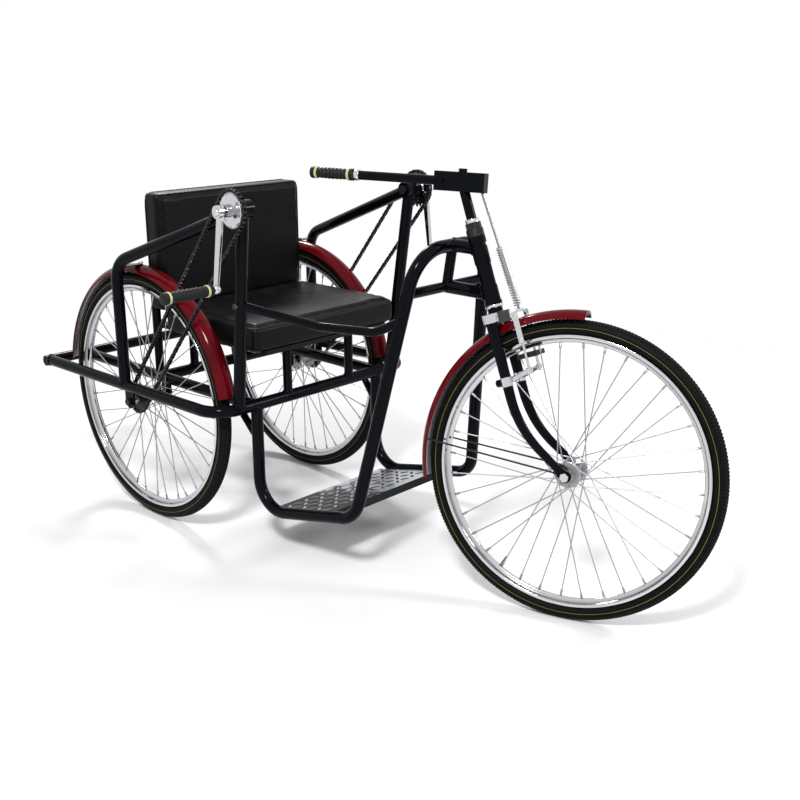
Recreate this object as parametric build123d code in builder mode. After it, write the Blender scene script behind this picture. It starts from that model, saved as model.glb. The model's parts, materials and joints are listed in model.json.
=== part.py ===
from build123d import *
import os
from math import asin, atan2, cos, degrees, pi, radians, sin, sqrt, tan

# Hand-cranked tricycle with two rear wheels, a steered front wheel and a tiller.
# Millimetres. +X is forward, +Y is the rider's left, +Z is up and the floor is at Z = 0.
# Stations along X are given from the rear axle and heights from the floor.

os.makedirs("parts", exist_ok=True)

# Driving dimensions of the wheels
TYRE_RADIUS = 357.0
TYRE_WIDTH = 37.0
TYRE_HEIGHT = 34.0
RIM_WIDTH = 32.0
RIM_DEPTH = 19.0
RIM_WALL = 6.0
RIM_LAND = 10.0
RIM_ROUND = 2.0
RIM_RIDGE_HALF = 5.0
SPOKES = 36
SPOKE_RADIUS = 1.0
SPOKE_SWEEP = 60.0
FLANGE_RADIUS = 31.0
FLANGE_THICKNESS = 3.0
BARREL_RADIUS = 14.0
BOSS_RADIUS = 11.0

# Driving dimensions of the layout
TRACK = 584.0
FOOT_SPACE = 476.4
STEER_LEAN = 20.4
STEER_REST = 18.3
FORK_RAKE = 82.0

# Driving dimensions of the frame tubes
TUBE_RADIUS = 16.0
THIN_TUBE_RADIUS = 12.5
BRACE_RADIUS = 10.0
RAIL_RISE = 44.0
RAIL_GAP = 65.0
INNER_RAIL_GAP = 58.0
REAR_BAR_GAP = 66.0
FRONT_BAR_GAP = 37.0
RAIL_CORNER = 72.0
MID_TUBE_X = -22.0
WHEEL_POST_X = -20.0
WHEEL_POST_RISE = 11.0
WHEEL_POST_BEND = 70.0
CRANK_POST_INSET = 8.0
POST_HEAD_INSET = 3.0
BACKREST_POST_X = -26.0

# Driving dimensions of the foot hoop and the head
LEG_INSET = 8.0
HEEL_HEIGHT = 97.0
TOE_REACH = 366.0
TOE_HEIGHT = 180.0
STUB_LENGTH = 81.5
HOOP_HALF = 125.0
UPPER_STUB_DROP = 28.0
HEEL_BEND = 80.0
TOE_BEND = 70.0
HOOP_BEND = 100.0
LOWER_STUB_RISE = 33.0
LEG_BRACE_DROP = 96.0
LEG_BRACE_RUN = 82.0
PLATFORM_THICKNESS = 3.0
PLATFORM_LIP = 18.0
PLATFORM_REAR = 30.0
PLATFORM_FRONT = 262.0
HEAD_RADIUS = 18.0
HEAD_LENGTH = 170.0
RACE_HEIGHT = 11.0
HEAD_LUG_RADIUS = 19.5
HEAD_LUG_HALF = 20.0
HEAD_CUP = 16.0
HEAD_CUP_RADIUS = 21.0

# Driving dimensions of the seat
SEAT_WHEEL_GAP = 34.0
SEAT_BACK_X = 50.0
SEAT_OVERHANG = 44.0
SEAT_RISE = 153.0
SEAT_THICKNESS = 64.0
SEAT_BOARD = 12.0
SEAT_STRUT_Y = 115.0
BACKREST_THICKNESS = 55.0
BACKREST_SINK = 14.0
BACKREST_HEIGHT = 324.0
CUSHION_RADIUS = 12.0
BACKREST_REAR_EDGE = 3.0

# Driving dimensions of the hand cranks and chains
CRANK_LEAD = 66.0
CRANK_RISE = 526.0
CRANK_LENGTH = 184.0
SHELL_INSET = 16.0
SHELL_LENGTH = 46.0
SHELL_RADIUS = 22.0
SPINDLE_RADIUS = 8.0
CHAIN_OFFSET = 40.0
CHAIN_PITCH = 12.7
CHAINWHEEL_TEETH = 24
SPROCKET_TEETH = 18
TOOTH_THICKNESS = 3.0
LINK_HEIGHT = 8.4
LINK_GAP = 4.6
LINK_PLATE = 1.7
CRANK_HUB_OFFSET = 20.0
CRANK_HUB_LENGTH = 26.0
CRANK_HUB_RADIUS = 16.0
CRANK_FLARE = 24.0
CRANK_EYE_RADIUS = 12.0
CRANK_ROOT_WIDTH = 20.0
CRANK_TIP_WIDTH = 13.0
CRANK_ARM_DEPTH = 11.0
CRANK_ARM_EDGE = 3.0
CHAINWHEEL_RIM = 9.0
CHAINWHEEL_ARM = 13.0
CHAINWHEEL_ARMS = 3
CRANK_NUT_RADIUS = 13.0
GRIP_PIN_RADIUS = 7.0
GRIP_LENGTH = 144.0
GRIP_RADIUS = 15.0
GRIP_RIBS = 8
GRIP_RIB_DEPTH = 1.4
GRIP_END = 13.0
GRIP_RIB_SHARE = 0.6

# Driving dimensions of the guard bar on the right
GUARD_BAR_RADIUS = 11.0
GUARD_BAR_RISE = 284.0
GUARD_BAR_SAG = 34.0
GUARD_BAR_LOW_START = 0.5
GUARD_BAR_LOW_END = 0.85
GUARD_BAR_BEND = 90.0

# Driving dimensions of the rear axles and mudguards
AXLE_RADIUS = 6.0
DROPOUT_THICKNESS = 6.0
DROPOUT_HALF_WIDTH = 20.0
NUT_RADIUS = 11.0
NUT_LENGTH = 9.0
GUARD_GAP = 23.0
GUARD_WIDTH = 54.0
GUARD_CROWN = 18.0
GUARD_BEAD = 1.8
GUARD_SHEET = 1.6
GUARD_FRONT_ANGLE = 11.0
GUARD_REAR_ANGLE = 172.0
GUARD_STRAP_WIDTH = 22.0
GUARD_STRAP_SHEET = 2.5

# Driving dimensions of the fork, tiller and brake, along the steering axis from the floor
BLADE_RADIUS = 11.0
BLADE_TIP_RADIUS = 7.5
BLADE_Y = 50.0
BLADE_CORNER = 130.0
BLADE_BEND = 260.0
CROWN_RISE = 7.2
CROWN_Y = 43.0
CROWN_WALL = 3.0
CROWN_THICKNESS = 27.0
CROWN_DEPTH = 34.0
CROWN_SOCKET = 11.0
FORK_END_THICKNESS = 5.0
FORK_END_RADIUS = 14.0
FORK_END_REACH = 40.0
FORK_END_CLEAR = 20.0
FRONT_AXLE_RADIUS = 5.0
STEERER_RADIUS = 12.0
HEADSET_CUP_LENGTH = 18.0
HEADSET_CUP_RADIUS = 20.5
HEADSET_NUT_LENGTH = 15.0
HEADSET_NUT_RADIUS = 20.0
HEADSET_RING_LENGTH = 9.0
HEADSET_RING_RADIUS = 16.0
TILLER_RISE = 132.0
TILLER_REACH = 404.0
TILLER_RADIUS = 11.0
TILLER_GRIP_LENGTH = 122.0
TILLER_GRIP_RADIUS = 14.5
BLOCK_FRONT = 60.0
BLOCK_REAR = 64.0
BLOCK_DEPTH = 45.0
BLOCK_WIDTH = 38.0
BLOCK_WALL = 3.0
BLOCK_PLUG = 16.0
BLOCK_NOSE = 7.0
BLOCK_BOLT_RADIUS = 11.0
BLOCK_BOLT_HEIGHT = 8.0
FRONT_GUARD_GAP = 22.0
FRONT_GUARD_TIP = 69.0
FRONT_GUARD_TAIL = 171.0
STAY_RADIUS = 2.2
STAY_ANGLE = 155.0
STAY_AXLE_Y = 41.0
BRAKE_ROD_RADIUS = 3.5
STIRRUP_RADIUS = 3.5
STIRRUP_X = 58.0
STIRRUP_Y = 34.0
STIRRUP_BEND = 14.0
STIRRUP_RISE = 18.0
ROD_INSET = 9.0
SPRING_START = 0.2
SPRING_END = 0.52
SPRING_RADIUS = 7.0
SHOE_LENGTH = 48.0
SHOE_DEPTH = 11.0
SHOE_CLEARANCE = 9.0
SHOE_INNER_Y = 11.0
PIVOT_X = -43.0
PIVOT_RADIUS = 5.0
PIVOT_HEAD = 5.0
GRIP_CAP = 8.0
GUARD_LUG = 20.0

# Driving dimensions of the hubs
HUB_END_GAP = 0.5
REAR_FLANGE_INNER = 30.0
REAR_FLANGE_OUTER = 22.0
FRONT_HUB_HALF = 38.0
FRONT_FLANGE_Y = 30.0
RACE_GAP = 0.5

# Fits between the pieces
RUNNING_FIT = 0.05
SEAT_GAP = 0.2
WELD_GAP = 0.15

# Values that follow from the driving dimensions
SIDES = {"right": -1, "left": 1}
WHEEL_Y = TRACK / 2
TYRE_SECTION = TYRE_WIDTH / 2
RIM_SEAT_RADIUS = TYRE_RADIUS - TYRE_HEIGHT
GUARD_RADIUS = TYRE_RADIUS + GUARD_GAP
FRONT_GUARD_RADIUS = TYRE_RADIUS + FRONT_GUARD_GAP
LEAN = radians(STEER_LEAN)
TURN = radians(STEER_REST)

# Rails pass on both sides of each rear wheel, and the seat fits between the wheels.
RAIL_Y = WHEEL_Y + RAIL_GAP
INNER_RAIL_Y = WHEEL_Y - INNER_RAIL_GAP
CRANK_POST_Y = WHEEL_Y - CRANK_POST_INSET
SHELL_INNER_Y = WHEEL_Y - SHELL_INSET
CHAIN_Y = WHEEL_Y + CHAIN_OFFSET
CRANK_HUB_Y = CHAIN_Y + CRANK_HUB_OFFSET
LEG_Y = INNER_RAIL_Y - LEG_INSET
SEAT_HALF_WIDTH = WHEEL_Y - SEAT_WHEEL_GAP
BACKREST_HALF_WIDTH = SEAT_HALF_WIDTH

# Rails run above the axle and past the rear tyres, and carry the seat, the hoop and the cranks.
RAIL_HEIGHT = TYRE_RADIUS + RAIL_RISE
REAR_BAR_X = -TYRE_RADIUS - REAR_BAR_GAP
FRONT_BAR_X = TYRE_RADIUS + FRONT_BAR_GAP
WHEEL_POST_HEIGHT = TYRE_RADIUS + GUARD_RADIUS + WHEEL_POST_RISE
TOE_X = FRONT_BAR_X + TOE_REACH
LEG_BRACE_HEIGHT = RAIL_HEIGHT - LEG_BRACE_DROP
SEAT_FRONT_X = FRONT_BAR_X + SEAT_OVERHANG
SEAT_BOTTOM = RAIL_HEIGHT + SEAT_RISE
CRANK_X = FRONT_BAR_X + CRANK_LEAD
CRANK_HEIGHT = RAIL_HEIGHT + CRANK_RISE
GUARD_BAR_HEIGHT = RAIL_HEIGHT + GUARD_BAR_RISE
WHEELBASE = FRONT_BAR_X + FOOT_SPACE + TYRE_RADIUS

# The front wheel is turned about the leaning steering axis and still stands on the floor.
AXIS_UP = Vector(-sin(LEAN), 0, cos(LEAN))
FORWARD = Vector(cos(LEAN) * cos(TURN), sin(TURN), sin(LEAN) * cos(TURN))
WHEEL_NORMAL = AXIS_UP.cross(FORWARD)
CORE_RADIUS = TYRE_RADIUS - TYRE_SECTION
FRONT_AXLE_HEIGHT = CORE_RADIUS * sqrt(1 - WHEEL_NORMAL.Z**2) + TYRE_SECTION
FRONT_AXLE_LEVEL = (FRONT_AXLE_HEIGHT - FORK_RAKE * FORWARD.Z) / AXIS_UP.Z
STRAIGHT_LEVEL = (TYRE_RADIUS - FORK_RAKE * sin(LEAN)) / cos(LEAN)
STEER_FLOOR_X = WHEELBASE - FORK_RAKE * cos(LEAN) + STRAIGHT_LEVEL * sin(LEAN)

# Levels along the steering axis from the floor, each from the one below it
CROWN_BOTTOM = FRONT_AXLE_LEVEL + sqrt(FRONT_GUARD_RADIUS**2 - FORK_RAKE**2) + CROWN_RISE
HEAD_BOTTOM = CROWN_BOTTOM + CROWN_THICKNESS + RACE_HEIGHT
HEAD_TOP = HEAD_BOTTOM + HEAD_LENGTH
LOWER_STUB_LEVEL = HEAD_BOTTOM + LOWER_STUB_RISE
UPPER_STUB_LEVEL = HEAD_TOP - UPPER_STUB_DROP
STIRRUP_TOP = CROWN_BOTTOM + STIRRUP_RISE
TILLER_LEVEL = HEAD_TOP + TILLER_RISE

# The hoop reaches the head through stubs, and the backrest stands just behind the seat.
HOOP_HEIGHT = UPPER_STUB_LEVEL * cos(LEAN)
HOOP_CROSS_HEIGHT = LOWER_STUB_LEVEL * cos(LEAN)
HOOP_X = STEER_FLOOR_X - HOOP_HEIGHT * tan(LEAN) - STUB_LENGTH
BACKREST_BOTTOM = SEAT_BOTTOM + SEAT_THICKNESS - BACKREST_SINK
BACKREST_TOP = BACKREST_BOTTOM + BACKREST_HEIGHT

# The part's origin is on the floor below the middle of its length.
FRONT_CENTRE_X = STEER_FLOOR_X + AXIS_UP.X * FRONT_AXLE_LEVEL + FORWARD.X * FORK_RAKE
FRONT_REACH = FRONT_CENTRE_X + CORE_RADIUS * sqrt(1 - WHEEL_NORMAL.X**2) + TYRE_SECTION
AXLE_X = -(FRONT_REACH + REAR_BAR_X - TUBE_RADIUS) / 2
STEERING = Location(
    Plane(origin=(AXLE_X + STEER_FLOOR_X, 0, 0), x_dir=FORWARD, z_dir=AXIS_UP)
)


def at(x, y, z):
    """Point of the frame from its station ahead of the rear axle."""
    return Vector(AXLE_X + x, y, z)


def tube(points, radius, bends=None, mode=Mode.ADD):
    """Round bar along straight runs, with an arc of its own radius at each corner."""
    with BuildLine() as route:
        if bends is None:
            Line(*points)
        else:
            FilletPolyline(*points, radius=bends)
    with BuildSketch(Plane(origin=route.line @ 0, z_dir=route.line % 0)) as section:
        Circle(radius)
    sweep(section.sketch, path=route.line, mode=mode)


def save(builder, name, place=Location()):
    """Name a finished piece, set it in its place and write its file."""
    piece = place * builder.part
    piece.label = name
    export_step(piece, f"parts/{name}.step")


# Routes of the frame tubes, shared by each tube and by what is coped to it
RAIL_ROUTE = [
    at(REAR_BAR_X, -RAIL_Y, RAIL_HEIGHT),
    at(FRONT_BAR_X, -RAIL_Y, RAIL_HEIGHT),
    at(FRONT_BAR_X, RAIL_Y, RAIL_HEIGHT),
    at(REAR_BAR_X, RAIL_Y, RAIL_HEIGHT),
]
RAIL_BENDS = [RAIL_CORNER, RAIL_CORNER]
REAR_BAR_END = RAIL_Y + TUBE_RADIUS
REAR_BAR_ROUTE = [at(REAR_BAR_X, side * REAR_BAR_END, RAIL_HEIGHT) for side in (-1, 1)]
HOOP_ROUTE = [
    at(FRONT_BAR_X, -LEG_Y, RAIL_HEIGHT),
    at(FRONT_BAR_X, -LEG_Y, HEEL_HEIGHT),
    at(TOE_X, -LEG_Y, TOE_HEIGHT),
    at(HOOP_X, -HOOP_HALF, HOOP_HEIGHT),
    at(HOOP_X, HOOP_HALF, HOOP_HEIGHT),
    at(TOE_X, LEG_Y, TOE_HEIGHT),
    at(FRONT_BAR_X, LEG_Y, HEEL_HEIGHT),
    at(FRONT_BAR_X, LEG_Y, RAIL_HEIGHT),
]
HOOP_BENDS = [HEEL_BEND, TOE_BEND, HOOP_BEND, HOOP_BEND, TOE_BEND, HEEL_BEND]


def inner_rail_route(side):
    """Axis of one inner rail, from the rear bar to the front bar."""
    rear = at(REAR_BAR_X, side * INNER_RAIL_Y, RAIL_HEIGHT)
    return [rear, at(FRONT_BAR_X, side * INNER_RAIL_Y, RAIL_HEIGHT)]


def mid_tube_route(overrun=0.0):
    """Axis of the cross tube under the seat, between the axes of the inner rails."""
    end = INNER_RAIL_Y + overrun
    return [at(MID_TUBE_X, -end, RAIL_HEIGHT), at(MID_TUBE_X, end, RAIL_HEIGHT)]


def crank_post_route(side):
    """Axis of one crank post, from the front bar to the crank's shell."""
    foot = at(FRONT_BAR_X, side * CRANK_POST_Y, RAIL_HEIGHT)
    return [foot, at(CRANK_X, side * SHELL_MIDDLE_Y, CRANK_HEIGHT)]


def wheel_post_route(side):
    """Axis of one wheel post, up from the outer rail and forward to the crank's shell."""
    foot = at(WHEEL_POST_X, side * RAIL_Y, RAIL_HEIGHT)
    corner = at(WHEEL_POST_X, side * RAIL_Y, WHEEL_POST_HEIGHT)
    return [foot, corner, at(CRANK_X, side * POST_HEAD_Y, CRANK_HEIGHT)]


def shell_route(side):
    """Axis of one crank shell, from its inner end to its outer end."""
    inner = at(CRANK_X, side * SHELL_INNER_Y, CRANK_HEIGHT)
    return [inner, at(CRANK_X, side * (SHELL_INNER_Y + SHELL_LENGTH), CRANK_HEIGHT)]


def front_leg_point(side, height):
    """Point on the axis of one front leg of the hoop at a height."""
    share = (height - TOE_HEIGHT) / (HOOP_HEIGHT - TOE_HEIGHT)
    x = TOE_X + share * (HOOP_X - TOE_X)
    y = LEG_Y + share * (HOOP_HALF - LEG_Y)
    return at(x, side * y, height)


SHELL_MIDDLE_Y = SHELL_INNER_Y + SHELL_LENGTH / 2
POST_HEAD_Y = SHELL_INNER_Y + TUBE_RADIUS + POST_HEAD_INSET
COPE = TUBE_RADIUS + WELD_GAP

# Outer rails and the front bar, one tube bent round two corners
with BuildPart() as outer_rails:
    tube(RAIL_ROUTE, TUBE_RADIUS, RAIL_BENDS)
    tube(REAR_BAR_ROUTE, COPE, mode=Mode.SUBTRACT)
save(outer_rails, "outer_rails")

# Rear bar across the ends of the outer rails
with BuildPart() as rear_bar:
    tube(REAR_BAR_ROUTE, TUBE_RADIUS)
save(rear_bar, "rear_bar")

# Inner rails inside the rear wheels
with BuildPart() as inner_rails:
    for side in SIDES.values():
        tube(inner_rail_route(side), TUBE_RADIUS)
    tube(RAIL_ROUTE, COPE, RAIL_BENDS, mode=Mode.SUBTRACT)
    tube(REAR_BAR_ROUTE, COPE, mode=Mode.SUBTRACT)
save(inner_rails, "inner_rails")

# Cross tube under the seat, between the inner rails
with BuildPart() as mid_cross_tube:
    tube(mid_tube_route(), TUBE_RADIUS)
    for side in SIDES.values():
        tube(inner_rail_route(side), COPE, mode=Mode.SUBTRACT)
save(mid_cross_tube, "mid_cross_tube")

# Wheel posts, outside the rear wheels and forward to the hand cranks
with BuildPart() as wheel_posts:
    for side in SIDES.values():
        tube(wheel_post_route(side), TUBE_RADIUS, [WHEEL_POST_BEND])
    tube(RAIL_ROUTE, COPE, RAIL_BENDS, mode=Mode.SUBTRACT)
    for side in SIDES.values():
        tube(shell_route(side), SHELL_RADIUS + WELD_GAP, mode=Mode.SUBTRACT)
save(wheel_posts, "wheel_posts")

# Crank posts from the front bar
with BuildPart() as crank_posts:
    for side in SIDES.values():
        tube(crank_post_route(side), TUBE_RADIUS)
    tube(RAIL_ROUTE, COPE, RAIL_BENDS, mode=Mode.SUBTRACT)
    for side in SIDES.values():
        tube(shell_route(side), SHELL_RADIUS + WELD_GAP, mode=Mode.SUBTRACT)
        tube(wheel_post_route(side), COPE, [WHEEL_POST_BEND], mode=Mode.SUBTRACT)
save(crank_posts, "crank_posts")

# Crank shells, bored for the spindles
with BuildPart() as crank_shells:
    for side in SIDES.values():
        tube(shell_route(side), SHELL_RADIUS)
    for side in SIDES.values():
        tube(shell_route(side), SPINDLE_RADIUS + RUNNING_FIT, mode=Mode.SUBTRACT)
save(crank_shells, "crank_shells")

# Foot hoop, one tube down, forward, up and over on both sides
with BuildPart() as foot_hoop:
    tube(HOOP_ROUTE, TUBE_RADIUS, HOOP_BENDS)
    tube(RAIL_ROUTE, COPE, RAIL_BENDS, mode=Mode.SUBTRACT)
    for side in SIDES.values():
        tube(inner_rail_route(side), COPE, mode=Mode.SUBTRACT)
save(foot_hoop, "foot_hoop")

# Braces from the rear legs of the hoop back to the inner rails
with BuildPart() as leg_braces:
    for side in SIDES.values():
        low = at(FRONT_BAR_X, side * LEG_Y, LEG_BRACE_HEIGHT)
        high = at(FRONT_BAR_X - LEG_BRACE_RUN, side * INNER_RAIL_Y, RAIL_HEIGHT)
        tube([low, high], BRACE_RADIUS)
    for side in SIDES.values():
        tube(inner_rail_route(side), COPE, mode=Mode.SUBTRACT)
    tube(HOOP_ROUTE, COPE, HOOP_BENDS, mode=Mode.SUBTRACT)
save(leg_braces, "leg_braces")

# Steering axis of the frame, for the head tube and the stubs that carry it
HEAD_AXIS = [
    Vector(STEERING.position) + AXIS_UP * level
    for level in (HEAD_BOTTOM, HEAD_TOP)
]


def head_x(height):
    """Station of the steering axis at a height, from the part's origin."""
    return STEERING.position.X - height * tan(LEAN)


# Cross tube between the front legs
CROSS_ENDS = [front_leg_point(side, HOOP_CROSS_HEIGHT) for side in (-1, 1)]
with BuildPart() as hoop_cross_tube:
    tube(CROSS_ENDS, THIN_TUBE_RADIUS)
    tube(HOOP_ROUTE, COPE, HOOP_BENDS, mode=Mode.SUBTRACT)
save(hoop_cross_tube, "hoop_cross_tube")

# Strut between the cross tube and the top of the hoop
CROSS_MIDDLE = (CROSS_ENDS[0] + CROSS_ENDS[1]) / 2
STRUT_ROUTE = [CROSS_MIDDLE, at(HOOP_X, 0, HOOP_HEIGHT)]
THIN_COPE = THIN_TUBE_RADIUS + WELD_GAP
with BuildPart() as hoop_strut:
    tube(STRUT_ROUTE, THIN_TUBE_RADIUS)
    tube(CROSS_ENDS, THIN_COPE, mode=Mode.SUBTRACT)
    tube(HOOP_ROUTE, COPE, HOOP_BENDS, mode=Mode.SUBTRACT)
save(hoop_strut, "hoop_strut")

# Stubs from the hoop and the cross tube to the head tube
with BuildPart() as head_stubs:
    tube([at(HOOP_X, 0, HOOP_HEIGHT), (head_x(HOOP_HEIGHT), 0, HOOP_HEIGHT)], TUBE_RADIUS)
    tube([CROSS_MIDDLE, (head_x(HOOP_CROSS_HEIGHT), 0, HOOP_CROSS_HEIGHT)], TUBE_RADIUS)
    tube(HOOP_ROUTE, COPE, HOOP_BENDS, mode=Mode.SUBTRACT)
    tube(CROSS_ENDS, THIN_COPE, mode=Mode.SUBTRACT)
    tube(STRUT_ROUTE, THIN_COPE, mode=Mode.SUBTRACT)
    tube(HEAD_AXIS, HEAD_CUP_RADIUS + WELD_GAP, mode=Mode.SUBTRACT)
save(head_stubs, "head_stubs")

# Head tube with a cup at each end
with BuildPart() as head_tube:
    with BuildSketch(Plane.XZ):
        with BuildLine():
            Polyline(
                (STEERER_RADIUS + RUNNING_FIT, HEAD_BOTTOM),
                (HEAD_CUP_RADIUS, HEAD_BOTTOM),
                (HEAD_CUP_RADIUS, HEAD_BOTTOM + HEAD_CUP),
                (HEAD_RADIUS, HEAD_BOTTOM + HEAD_CUP),
                (HEAD_RADIUS, HEAD_TOP - HEAD_CUP),
                (HEAD_CUP_RADIUS, HEAD_TOP - HEAD_CUP),
                (HEAD_CUP_RADIUS, HEAD_TOP),
                (STEERER_RADIUS + RUNNING_FIT, HEAD_TOP),
                close=True,
            )
        make_face()
        with Locations((HEAD_RADIUS, LOWER_STUB_LEVEL), (HEAD_RADIUS, UPPER_STUB_LEVEL - HEAD_CUP)):
            Rectangle(2 * (HEAD_LUG_RADIUS - HEAD_RADIUS), 2 * HEAD_LUG_HALF)
    revolve(axis=Axis.Z)
save(head_tube, "head_tube", STEERING)

# Foot platform, a folded plate between the bottom runs of the hoop
RUN_LEAN = atan2(TOE_HEIGHT - HEEL_HEIGHT, TOE_X - FRONT_BAR_X)
PLATFORM_HALF = LEG_Y - TUBE_RADIUS - SEAT_GAP
with BuildPart() as foot_platform:
    with BuildSketch(Plane.XY):
        with Locations(((PLATFORM_REAR + PLATFORM_FRONT) / 2, 0)):
            Rectangle(PLATFORM_FRONT - PLATFORM_REAR, 2 * PLATFORM_HALF)
    extrude(amount=PLATFORM_THICKNESS)
    for end in (PLATFORM_REAR, PLATFORM_FRONT - PLATFORM_THICKNESS):
        with Locations((end, 0, 0)):
            Box(
                PLATFORM_THICKNESS, 2 * PLATFORM_HALF, PLATFORM_LIP,
                align=(Align.MIN, Align.CENTER, Align.MAX),
            )
PLATFORM_PLACE = Location(at(FRONT_BAR_X, 0, HEEL_HEIGHT)) * Location((0, 0, 0), (0, -degrees(RUN_LEAN), 0))
save(foot_platform, "foot_platform", PLATFORM_PLACE)

# Struts that carry the seat board, on the mid cross tube and on the front bar
SEAT_BOARD_BOTTOM = SEAT_BOTTOM - SEAT_BOARD - SEAT_GAP
with BuildPart() as seat_struts:
    for x in (MID_TUBE_X, FRONT_BAR_X):
        for side in SIDES.values():
            foot = at(x, side * SEAT_STRUT_Y, RAIL_HEIGHT)
            tube([foot, at(x, side * SEAT_STRUT_Y, SEAT_BOARD_BOTTOM - SEAT_GAP)], THIN_TUBE_RADIUS)
    tube(RAIL_ROUTE, COPE, RAIL_BENDS, mode=Mode.SUBTRACT)
    tube(mid_tube_route(), COPE, mode=Mode.SUBTRACT)
save(seat_struts, "seat_struts")

# Seat board
with BuildPart() as seat_board:
    back = MID_TUBE_X - THIN_TUBE_RADIUS
    with BuildSketch(Plane.XY.offset(SEAT_BOARD_BOTTOM)):
        with Locations(at((back + SEAT_FRONT_X) / 2, 0, 0)):
            Rectangle(SEAT_FRONT_X - back, 2 * (INNER_RAIL_Y - THIN_TUBE_RADIUS - SEAT_GAP))
    extrude(amount=SEAT_BOARD)
save(seat_board, "seat_board")

# Seat cushion
with BuildPart() as seat_cushion:
    with Locations(at((SEAT_BACK_X + SEAT_FRONT_X) / 2, 0, SEAT_BOTTOM)):
        Box(
            SEAT_FRONT_X - SEAT_BACK_X, 2 * SEAT_HALF_WIDTH, SEAT_THICKNESS,
            align=(Align.CENTER, Align.CENTER, Align.MIN),
        )
    fillet(seat_cushion.edges(), CUSHION_RADIUS)
save(seat_cushion, "seat_cushion")

# Posts behind the backrest, on the inner rails
POST_TOP = BACKREST_TOP - 3 * CUSHION_RADIUS
with BuildPart() as backrest_posts:
    for side in SIDES.values():
        foot = at(BACKREST_POST_X, side * INNER_RAIL_Y, RAIL_HEIGHT)
        tube([foot, at(BACKREST_POST_X, side * INNER_RAIL_Y, POST_TOP)], THIN_TUBE_RADIUS)
    for side in SIDES.values():
        tube(inner_rail_route(side), COPE, mode=Mode.SUBTRACT)
    tube(mid_tube_route(TUBE_RADIUS), COPE, mode=Mode.SUBTRACT)
save(backrest_posts, "backrest_posts")

# Backrest cushion, in front of its posts
BACKREST_REAR_X = BACKREST_POST_X + THIN_TUBE_RADIUS + SEAT_GAP
with BuildPart() as backrest_cushion:
    with Locations(at(BACKREST_REAR_X + BACKREST_THICKNESS / 2, 0, BACKREST_BOTTOM)):
        Box(
            BACKREST_THICKNESS, 2 * BACKREST_HALF_WIDTH, BACKREST_TOP - BACKREST_BOTTOM,
            align=(Align.CENTER, Align.CENTER, Align.MIN),
        )
    rear_edges = backrest_cushion.edges().group_by(Axis.X)[0]
    fillet(backrest_cushion.edges() - rear_edges, CUSHION_RADIUS)
    fillet(backrest_cushion.edges().group_by(Axis.X)[0], BACKREST_REAR_EDGE)
save(backrest_cushion, "backrest_cushion")

# Guard bar on the right, from the crank post forward to the front leg
POST_FOOT, POST_HEAD = crank_post_route(SIDES["right"])
POST_SHARE = (GUARD_BAR_HEIGHT - RAIL_HEIGHT) / (CRANK_HEIGHT - RAIL_HEIGHT)
BAR_REAR = POST_FOOT + (POST_HEAD - POST_FOOT) * POST_SHARE
BAR_FRONT = front_leg_point(SIDES["right"], GUARD_BAR_HEIGHT)
BAR_DROP = Vector(0, 0, -GUARD_BAR_SAG)
BAR_ROUTE = [
    BAR_REAR,
    BAR_REAR + (BAR_FRONT - BAR_REAR) * GUARD_BAR_LOW_START + BAR_DROP,
    BAR_REAR + (BAR_FRONT - BAR_REAR) * GUARD_BAR_LOW_END + BAR_DROP,
    BAR_FRONT,
]
with BuildPart() as guard_bar:
    tube(BAR_ROUTE, GUARD_BAR_RADIUS, [GUARD_BAR_BEND, GUARD_BAR_BEND])
    tube(crank_post_route(SIDES["right"]), COPE, mode=Mode.SUBTRACT)
    tube(HOOP_ROUTE, COPE, HOOP_BENDS, mode=Mode.SUBTRACT)
save(guard_bar, "guard_bar")


def guard_shell(radius, start, end):
    """Curved mudguard sheet about the Y axis, between two angles up from +X, with a bead at each edge."""
    half = GUARD_WIDTH / 2
    arch = (half**2 + GUARD_CROWN**2) / (2 * GUARD_CROWN)
    centre = radius - arch
    spread = asin(half / arch)

    def edge(reach, side):
        """Point at one edge of the sheet, at a reach from the middle of its arch."""
        return (centre + reach * cos(spread), side * reach * sin(spread))

    under = arch - GUARD_SHEET
    with BuildSketch(Plane.XY) as section:
        with BuildLine():
            outer = ThreePointArc(edge(arch, 1), (radius, 0), edge(arch, -1))
            inner = ThreePointArc(edge(under, 1), (radius - GUARD_SHEET, 0), edge(under, -1))
            Line(outer @ 0, inner @ 0)
            Line(outer @ 1, inner @ 1)
        make_face()
        with Locations(edge(arch - GUARD_SHEET / 2, 1), edge(arch - GUARD_SHEET / 2, -1)):
            Circle(GUARD_BEAD)
    revolve(section.sketch, axis=Axis.Y.reverse(), revolution_arc=end - start)


# Rear mudguards, each hung by a strap from its wheel post
POST_ARC_X = WHEEL_POST_X + WHEEL_POST_BEND * (1 - cos(pi / 4))
with BuildPart() as one_guard:
    guard_shell(GUARD_RADIUS, GUARD_FRONT_ANGLE, GUARD_REAR_ANGLE)
REAR_GUARD = Location((0, 0, 0), (0, -GUARD_FRONT_ANGLE, 0)) * one_guard.part
with BuildPart() as rear_mudguards:
    for side in SIDES.values():
        add(REAR_GUARD.moved(Location(at(0, side * WHEEL_Y, TYRE_RADIUS))))
save(rear_mudguards, "rear_mudguards")

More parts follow.
